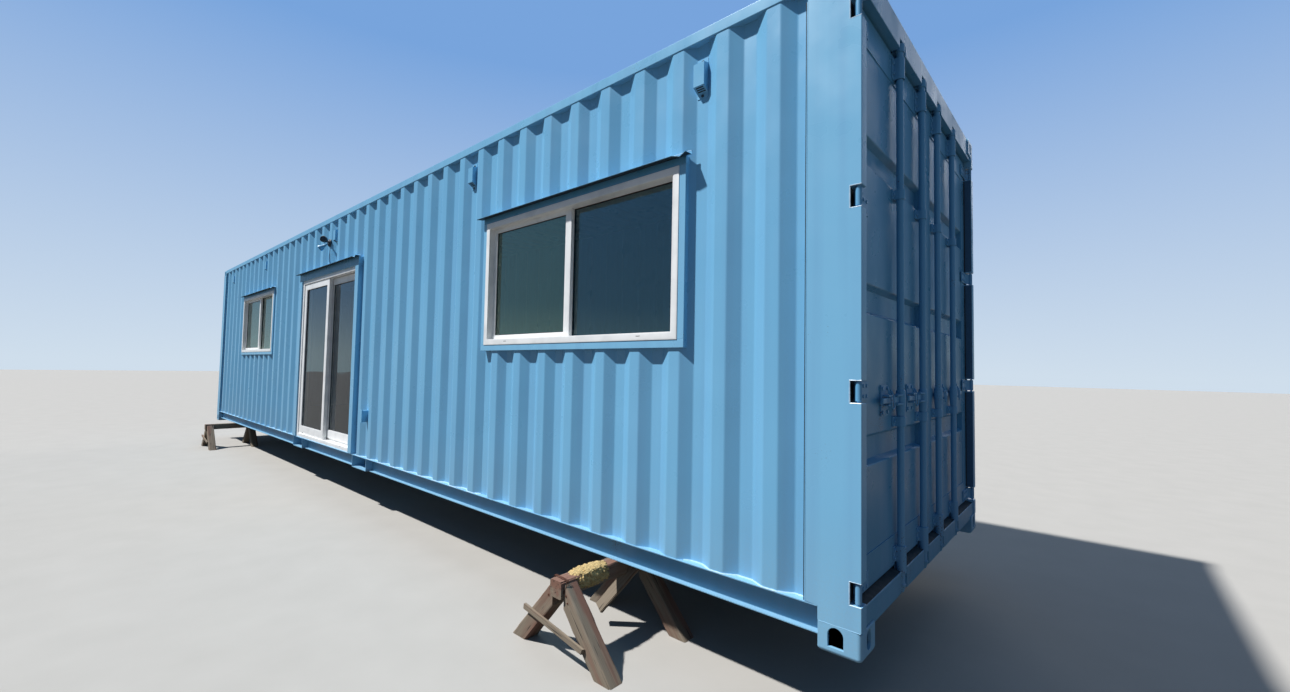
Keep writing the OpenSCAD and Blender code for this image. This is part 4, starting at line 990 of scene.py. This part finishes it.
# %% Door gap seals
SILL_SEAL, HEADER_SEAL = (0.5505, 0.5600, 6.0840), (3.0995, 3.0900, 6.0340)    # base, tip, front
SEAL_BACK, LIP_BACK, LIP_FRONT = 6.0180, 6.0240, 6.0460
edges = [-1.155] + [v for rod_y in ROD_YS for v in (rod_y - 0.050, rod_y + 0.050)] + [1.155]
seals = []
for low_y, high_y in zip(edges[::2], edges[1::2]):
    for base, tip, front in (SILL_SEAL, HEADER_SEAL):
        strip = add_block((SEAL_BACK, low_y, base), (front, high_y, tip))
        for vertex in strip.data.vertices:
            if abs(vertex.co.z - tip) < 1e-5:
                vertex.co.x = min(vertex.co.x, LIP_FRONT) if vertex.co.x > 6.03 else LIP_BACK
        seals.append(strip)
# The black lip seals are partly real gaskets and partly painted shade of the gaps.
keep(join(seals), "door_gap_seals", rubber, "door_rubber")
# Black pads paint the shade at the backs of the cam recesses.
backs = [add_block((6.0262, rod_y - 0.038, low_z), (6.0320, rod_y + 0.038, high_z))
         for rod_y in ROD_YS for low_z, high_z in ((0.4400, 0.5490), (3.1010, 3.1490))]
keep(soften(join(backs), 0.001), "recess_shade_pads", rubber, "door_rubber")
for side, sign in (("near", -1), ("far", 1)):
    strips = [add_block((6.0400, sign * 0.012, low_z), (6.0485, sign * 1.137, high_z))
              for low_z, high_z in ((0.5660, 0.5860), (3.0640, 3.0860))]
    keep(soften(join(strips), 0.002), side + "_leaf_edge_strips", deeper_enamel_painted_shade, "blue_paint",
         side + "_cargo_door")
print("door gap seals", len(seals))

# %% [markdown]
# Along the hinge side, a dark flat strip on the post's inner face paints that face's shade, and a
# round black seal fills the gap between leaf and post. Both run from hinge to hinge.

# %% Hinge side seals
HINGE_ROOM = 0.052    # from a hinge's middle to the end of a seal
sides, lips = [], []
for lower, upper in zip(HINGE_HEIGHTS, HINGE_HEIGHTS[1:]):
    low_z, high_z = lower + HINGE_ROOM, upper - HINGE_ROOM
    for side in (-1, 1):
        sides.append(add_block((6.0470, side * 1.1562, low_z),
                               (6.0925, side * 1.1592, high_z)))
        lips.append([(6.0475, side * 1.1535, z) for z in (low_z + 0.004, high_z - 0.004)])
# The flat strips' dark navy finish is painted shade.
keep(soften(join(sides), 0.0008, 1), "post_side_strips", painted_shade_strip, "door_rubber")
keep(bead(lips, 0.0046, 0.1, step=0.05), "post_side_seals", rubber, "door_rubber", even=False)
print("hinge side seals", len(lips))

# %% [markdown]
# A cargo hinge is a flat blade on the leaf, a cranked link and a knuckle round the pin. From the
# side, each notch in the post shows a dark slot and then the knuckle, flush with the post. The
# knuckle is a ring's outline spun about the pin's axis. The same function serves all round pieces.

# %% Hinge blades
HINGE_HALF = 0.038
LEAF_FACE, BLADE_FACE = 6.0480, 6.0560
PIN_X, PIN_Y = 6.0780, 1.2000


def spun(profile, sides=32):
    """A round shape from a list of (radius, height) points, spun about Z."""
    mesh = bpy.data.meshes.new("spun")
    mesh.from_pydata([(r, 0, z) for r, z in profile],
                     [(i, i + 1) for i in range(len(profile) - 1)], [])
    obj = new_piece("spun", mesh)
    edit_all(obj, (bpy.ops.mesh.spin, {"steps": sides, "angle": 2 * math.pi,
                                       "center": (0, 0, 0), "axis": (0, 0, 1)}),
             (bpy.ops.mesh.remove_doubles, {"threshold": 1e-5}),
             (bpy.ops.mesh.normals_make_consistent, {"inside": False}))
    return obj


def ring(inner, outer, low, high, corner=0.0012):
    """A ring with broken outer corners."""
    return spun([(inner, low), (outer - corner, low), (outer, low + corner),
                 (outer, high - corner), (outer - corner, high), (inner, high), (inner, low)], 28)


def cargo_hinge():
    """One hinge of the near leaf, with its middle at height 0."""
    blade = soften(add_block((LEAF_FACE, -1.1730, -HINGE_HALF), (BLADE_FACE, -1.0140, HINGE_HALF)),
                   0.002)
    link = add_block((LEAF_FACE, -1.1900, -HINGE_HALF), (BLADE_FACE, -1.1715, HINGE_HALF))
    for vertex in link.data.vertices:
        if vertex.co.y < -1.18:
            vertex.co.x += 0.0160
    soften(link, 0.001, 1)
    knuckle = moved(ring(0.0074, 0.0128, -HINGE_HALF, HINGE_HALF), shift(PIN_X, -PIN_Y, 0))
    rivets = [soften(add_bar((6.0558, y, z), (6.0600, y, z), 0.0085), 0.0012, 1)
              for y in (-1.040, -1.080, -1.120) for z in (-0.022, 0.022)]
    return join([blade, link, knuckle] + rivets)


for side, flip in (("near", Matrix.Identity(4)), ("far", MIRROR)):
    hinges = copies(cargo_hinge(), [shift(0, 0, z) @ flip for z in HINGE_HEIGHTS])
    keep(hinges, side + "_leaf_hinges_shown", gear_enamel, "blue_paint", side + "_cargo_door",
         [side + "_leaf_hinges"])
    print(hinges.name, len(hinges.data.polygons), "faces")

# %% [markdown]
# The lock rods carry forged hubs for their handles. A hub is a waisted sleeve on the rod, with ears
# over and under the handle and the rivet that it turns on, and a grip ends the handle. It is
# modelled for a rod of the far leaf and mirrored for the near one.

# %% Handle hubs
HANDLE_Z = 1.362


def handle_hub(rod_y):
    """Sleeve, ears, rivet and grip of a far rod's handle."""
    parts = []
    for z in (HANDLE_Z - 0.026, HANDLE_Z + 0.016):
        ear = add_block((6.0590, rod_y + 0.004, z), (6.0930, rod_y + 0.058, z + 0.010))
        for vertex in ear.data.vertices:
            if vertex.co.y > rod_y + 0.03:
                vertex.co.x = 6.0600 if vertex.co.x < 6.07 else 6.0780
        parts.append(soften(ear, 0.002))
    rivet = add_bar((6.0680, rod_y + 0.046, HANDLE_Z - 0.030),
                    (6.0680, rod_y + 0.046, HANDLE_Z + 0.030), 0.0062)
    sleeve = spun([(0.0165, -0.078), (0.0190, -0.078), (0.0205, -0.060), (0.0222, -0.034),
                   (0.0222, 0.036), (0.0200, 0.044), (0.0165, 0.046), (0.0165, -0.078)], 28)
    grip = add_block((6.0600, rod_y + 0.213, HANDLE_Z - 0.013),
                     (6.0740, rod_y + 0.269, HANDLE_Z + 0.013))
    parts += [soften(rivet, 0.001, 1), moved(sleeve, shift(ROD_AXIS_X, rod_y, HANDLE_Z)),
              soften(grip, 0.005, 3)]
    return join(parts)


for body, rod_y in (("near_outer_rod", 0.60), ("near_inner_rod", 0.18), ("far_inner_rod", 0.18),
                    ("far_outer_rod", 0.60)):
    hub = handle_hub(rod_y)
    if body.startswith("near"):
        moved(hub, MIRROR)
    keep(hub, body + "_hub", gear_enamel, "blue_paint", body)
print("rod hubs", len(ROD_YS))

# %% [markdown]
# Hexagon bolts hold the rods' brackets and the handles' catches to the leaf, and a collar on the
# rod lies over or under each bracket. Beside each rod a loose wire bail hangs over the catch. On
# the real doors these small shapes are the busy dark spots half way up.

# %% Bolts, collars and bails
BRACKET_BOLTS = ((0.600, 6.0528), (0.640, 6.0528), (1.255, 6.0526), (2.375, 6.0526),
                 (2.990, 6.0528), (3.040, 6.0528))    # height, and the face that they lie on
COLLAR_HEIGHTS = (0.6490, 1.2700, 1.2305, 2.3505, 2.3900, 2.9600)

for side, sign in (("near", -1), ("far", 1)):
    places = []
    for rod_y in (0.18, 0.60):
        places += [shift(x, rod_y + off, z) for z, x in BRACKET_BOLTS for off in (-0.037, 0.037)]
        places += [shift(6.0508, rod_y + 0.175 + off, z)
                   for z in (HANDLE_Z - 0.055, HANDLE_Z + 0.055) for off in (-0.036, 0.036)]
    hex_head = soften(add_bar((0, 0, 0), (0.0065, 0, 0), 0.0100, 6), 0.0012, 1)
    collars = copies(ring(0.0178, 0.0236, 0, 0.010), [shift(ROD_AXIS_X - 0.001, rod_y, z)
                                                      for rod_y in (0.18, 0.60)
                                                      for z in COLLAR_HEIGHTS])
    bolts = join([copies(hex_head, places), collars])
    if side == "near":
        moved(bolts, MIRROR)
    keep(bolts, side + "_bracket_bolts", gear_enamel, "blue_paint", side + "_cargo_door")
    bails = []
    for rod_y in (0.18, 0.60):
        y = rod_y + 0.150
        bails.append([(6.0640 + out, sign * (y + off), HANDLE_Z + rise) for out, off, rise in (
            (0, -0.020, 0.048), (0.014, -0.021, 0.020), (0.018, -0.018, -0.030),
            (0.016, 0, -0.044), (0.018, 0.018, -0.030), (0.014, 0.021, 0.020),
            (0, 0.020, 0.048))])
    keep(bead(bails, 0.0034, 0.0, sides=2), side + "_catch_bails", gear_enamel, "blue_paint",
         side + "_cargo_door", even=False)
    print(side, "bolts", len(places), "bails", len(bails))

# %% [markdown]
# The vent covers are pressed boxes with two screws each. Air comes in through slots in their
# sloping underside, drawn as thin black pieces that paint the shade inside them. The covers on the
# back wall are the same, mirrored.

# %% Vent screws and slots
VENT_XS = (5.279, 3.055, -0.003, -3.061, -5.285)
SLOPE_Y, SLOPE_Z, SLOPE_TURN = 0.038, 0.0245, math.atan2(0.039, 0.024)


def on_both_walls(places):
    """The same places on the window wall and, mirrored, on the back wall."""
    return places + [MIRROR @ place for place in places]


screw = soften(add_bar((0, 0, 0), (0, -0.0045, 0), 0.0085), 0.0015, 1)
places = on_both_walls([shift(x, -1.1817, z) for x in VENT_XS for z in (3.089, 2.909)])
keep(copies(screw, places), "vent_screws", powder_coat, "dark_lamp_paint")
# The slots are thin black pieces that paint the shade inside them.
slot_piece = soften(add_block((-0.024, -0.0015, -0.003), (0.024, 0.0015, 0.003)), 0.0006, 1)
places = on_both_walls([shift(x, -1.2205 + SLOPE_Y * part, 2.9475 - SLOPE_Z * part)
                        @ Matrix.Rotation(SLOPE_TURN, 4, "X")
                        for x in VENT_XS for part in (0.25, 0.5, 0.75)])
keep(copies(slot_piece, places), "vent_slots", rubber, "door_rubber")
print("vent slots", len(places))

# %% [markdown]
# The lamp has a round plate with two heads on knuckles. One is a short round spotlight with a dark
# lens. The other is a bell that points down and away, sprayed over with the wall. Each head is a
# profile spun about its own axis, then turned to the direction that the CAD head has.

# %% Lamp with two heads
LAMP_X, LAMP_Z = -0.142, 2.930
SPOT_WAY, BELL_WAY = Vector((0.639, -0.762, 0.105)), Vector((-0.548, -0.609, -0.574))
SPOT_BASE = Vector((LAMP_X + 0.014, -1.237, LAMP_Z + 0.008))
BELL_BASE = Vector((LAMP_X - 0.014, -1.237, LAMP_Z - 0.008))


def aimed(profile, base, towards, along=0.0, sides=32):
    """A spun shape that points a given way, from a base point or some way along from it."""
    towards = Vector(towards)
    turn = towards.to_track_quat("Z", "Y").to_matrix().to_4x4()
    place = Vector(base) + along * towards.normalized()
    return moved(spun(profile, sides), Matrix.Translation(place) @ turn)


plate = aimed([(0, 0), (0.046, 0), (0.046, 0.010), (0.042, 0.015), (0.030, 0.020), (0.026, 0.026),
               (0, 0.026)], (LAMP_X, -1.2155, LAMP_Z), (0, -1, 0))
spot = aimed([(0, 0), (0.009, 0), (0.009, 0.026), (0.013, 0.030), (0.013, 0.040), (0.017, 0.046),
              (0.026, 0.056), (0.034, 0.072), (0.036, 0.094), (0.0375, 0.096), (0.0375, 0.109),
              (0.034, 0.110), (0.033, 0.103), (0, 0.103)], SPOT_BASE, SPOT_WAY)
bell = aimed([(0, 0), (0.009, 0), (0.009, 0.026), (0.014, 0.030), (0.014, 0.042), (0.018, 0.050),
              (0.022, 0.062), (0.029, 0.078), (0.0375, 0.098), (0.0375, 0.109), (0.0355, 0.109),
              (0.034, 0.099), (0.026, 0.080), (0.018, 0.064), (0, 0.060)], BELL_BASE, BELL_WAY)
heads = keep(join([plate, spot]), "floodlight_shown", powder_coat, "dark_lamp_paint",
             stands_for=["floodlight"])
# The bell takes the deeper enamel, which paints its shade.
keep(bell, "lamp_bell", deeper_enamel_painted_shade, "blue_paint")
lens = aimed([(0, 0), (0.0325, 0), (0.0325, 0.001), (0.022, 0.0035), (0, 0.005)], SPOT_BASE,
             SPOT_WAY, 0.1035)
bulb = aimed([(0, 0), (0.012, 0), (0.016, 0.010), (0.014, 0.024), (0, 0.030)], BELL_BASE,
             BELL_WAY, 0.062, 20)
keep(join([lens, bulb]), "lamp_lens", lamp_glass, "window_glass")
print("lamp faces", len(heads.data.polygons))

# %% [markdown]
# The floor is laid from plywood sheets 1.2 m wide. Sealant fills the joints between them, and
# screws hold them to the crossmembers.

# %% Floor joints and screws
FLOOR_TOP = 0.5550
BOARD_PITCH, CROSS_PITCH, SCREW_PITCH = 1.20, 0.3, 0.23
joints = [add_block((BOARD_PITCH * i - 0.0025, -1.170, FLOOR_TOP - 0.0004),
                    (BOARD_PITCH * i + 0.0025, 1.170, FLOOR_TOP + 0.0006)) for i in range(-4, 5)]
keep(soften(join(joints), 0.0003, 1), "floor_joints", rubber, "door_rubber")
screw = add_bar((0, 0, FLOOR_TOP - 0.0002), (0, 0, FLOOR_TOP + 0.0012), 0.0060, 10)
soften(screw, 0.0006, 1)
places = [shift(CROSS_PITCH * i - 0.022, SCREW_PITCH * j, 0)
          for i in range(-18, 19) for j in range(-5, 6) if j % 2 or i % 2]
keep(copies(screw, places), "floor_screws", zinc, "dark_lamp_paint")
print("floor screws", len(places))

# %% [markdown]
# The sawhorses are nailed from old four-by-four. Each board starts as a block drawn along X and
# divided finely. Its own places are stored in the grain attribute, its corners are worn back by
# noise, and then it is moved into place and its slanted ends are cut with planes.

# %% Sawhorses
HORSE_X, BEAM = 4.700, 0.089
LEG_WAY = Vector((0.6636, 0, -0.7481))
INNER_LEG, OUTER_LEG = 0.961, 1.537
FINE = 11    # cuts across a board


def board(length, width, depth, along, across, middle, seed, wear=0.006):
    """A worn board, with its length and width ways given."""
    size = Vector((length, width, depth)) / 2
    piece = add_block(-size, size)
    edit_all(piece, (bpy.ops.mesh.subdivide, {"number_cuts": FINE}))
    grain = piece.data.attributes.new("grain", "FLOAT_VECTOR", "POINT")
    for index, vertex in enumerate(piece.data.vertices):
        place = vertex.co.copy()
        grain.data[index].vector = place + seed * Vector((0.9, 0.37, 0.53))
        spot = place + seed * Vector((3.1, 1.0, -1.7))
        edges = [abs(place.y) > 0.49 * width, abs(place.z) > 0.49 * depth]
        loss = wear * abs(noise.noise(spot * 11)) * (1.8 if all(edges) else 0.35)
        loss += 0.0012 if all(edges) else 0
        for axis, at_edge in zip((1, 2), edges):
            if at_edge:
                vertex.co[axis] -= math.copysign(loss, place[axis])
    along, across = Vector(along).normalized(), Vector(across).normalized()
    turn = Matrix((along, across, along.cross(across))).transposed().to_4x4()
    return moved(piece, Matrix.Translation(middle) @ turn)


def cut_off(piece, point, outward):
    """Cut a piece with a plane, close the cut and drop the outer part."""
    edit_all(piece, (bpy.ops.mesh.bisect, {"plane_co": point, "plane_no": outward,
                                           "use_fill": True, "clear_outer": True}))


beams, legs, sticks, nails = [], [], [], []
seed = 1    # each board's own place in the noise
for horse_x in (-HORSE_X, HORSE_X):
    for side in (-1, 1):
        seed += 1
        beams.append(board(0.700, BEAM, BEAM, (0, 1, 0), (-1, 0, 0),
                           (horse_x, side * 1.249, 0.3545), seed))
        for way in (-1, 1):
            for leg_y in (INNER_LEG, OUTER_LEG):
                seed += 1
                leg = board(0.640, BEAM, BEAM, (way * LEG_WAY.x, 0, LEG_WAY.z), (0, 1, 0),
                            (horse_x + way * 0.1862, side * leg_y, 0.1590), seed)
                cut_off(leg, (horse_x + way * 0.0447, 0, 0), (-way, 0, 0))
                cut_off(leg, (0, 0, 0.0002), (0, 0, -1))
                legs.append(leg)
            for drop in (0.020, 0.052):
                spot = Vector((horse_x + way * (0.055 + 0.4 * drop), side * 1.5810, 0.352 - drop))
                nails.append(add_bar(spot, spot + Vector((0, side * 0.0032, 0)), 0.0045, 10))
        # The thin stick is nailed across the outer legs. It slopes, with its lower end broken off.
        stick = board(0.500, 0.030, 0.016, (1, 0, -0.16), (0.16, 0, 1),
                      (horse_x - 0.020, side * 1.5905, 0.148), seed + 40, 0.004)
        cut_off(stick, (horse_x + 0.205, side * 1.590, 0.11), (0.8, 0.35 * side, -0.3))
        sticks.append(stick)
for part, boards in (("beams", beams), ("legs", legs), ("braces", sticks)):
    keep(join(boards), "sawhorse_" + part + "_shown", timber, "weathered_timber",
         stands_for=["sawhorse_" + part], even=False)
keep(join(nails), "sawhorse_nails", rusty_steel, "dark_lamp_paint")
print("boards", len(beams) + len(legs) + len(sticks))

# %% [markdown]
# The near sawhorse is in poor state. Rotten foam lies on its beam, wire ties the end of the beam
# to the legs, and a short board hangs slanted from the beam under the rail. The foam is a block,
# divided finely and swollen by noise, with ridges across it, and it stops at the rail.

# %% Near sawhorse's foam, wire and loose board
FOAM_HALF = Vector((0.056, 0.125, 0.050))
RAIL_SIDE = -1.226

foam_piece = add_block(-FOAM_HALF, FOAM_HALF)
edit_all(foam_piece, (bpy.ops.mesh.subdivide, {"number_cuts": 27}))
for vertex in foam_piece.data.vertices:
    place = vertex.co.copy()
    taper = 1 - 0.30 * (abs(place.y) / FOAM_HALF.y) ** 4
    lumps = 0.015 * noise.noise(place * 42) + 0.012 * noise.noise(place * 105)
    ridges = 0.009 * math.sin(place.y * 330 + 6 * noise.noise(place * 20))
    narrow = taper * (1 - 0.20 * (place.x / FOAM_HALF.x) ** 2 * (place.z / FOAM_HALF.z) ** 2)
    vertex.co = Vector((place.x * narrow * (1 + 9 * lumps + 9 * ridges), place.y * (1 + 6 * lumps),
                        place.z * narrow * (1 + 6 * lumps + 6 * ridges)))
moved(foam_piece, shift(HORSE_X + 0.002, -1.375, 0.3640))
for vertex in foam_piece.data.vertices:
    vertex.co.y = min(vertex.co.y, RAIL_SIDE)
keep(foam_piece, "beam_foam", foam, "weathered_timber", crease=70, even=False)
wires = []
for y, sag in ((-1.560, 0.0), (-1.566, 0.006), (-1.553, 0.011)):
    wires.append([(HORSE_X + x, place_y, z) for x, place_y, z in (
        (-0.050, y, 0.404), (0.020, y - 0.004, 0.4035), (0.0490, y, 0.398),
        (0.0560, y - 0.012, 0.374 - sag), (0.0500, -1.5860, 0.352 - sag),
        (0, -1.5920, 0.338 - sag), (-0.062, -1.5870, 0.345 - sag), (-0.078, y, 0.352 - sag),
        (-0.050, y, 0.404))])
keep(bead(wires, 0.0014, 0.1, step=0.02), "beam_wire", rusty_steel, "dark_lamp_paint", even=False)
loose = board(0.360, 0.070, 0.022, (-0.55, -0.30, -0.78), (0.80, -0.2, -0.55),
              (HORSE_X - 0.005, -1.130, 0.235), 77)
cut_off(loose, (0, 0, 0.385), (0, 0, 1))
keep(loose, "loose_board", timber, "weathered_timber", even=False)
print("foam faces", len(foam_piece.data.polygons), "wires", len(wires))

# %% [markdown]
# The last cell updates the scene.

# %% Update the scene
bpy.context.view_layer.update()
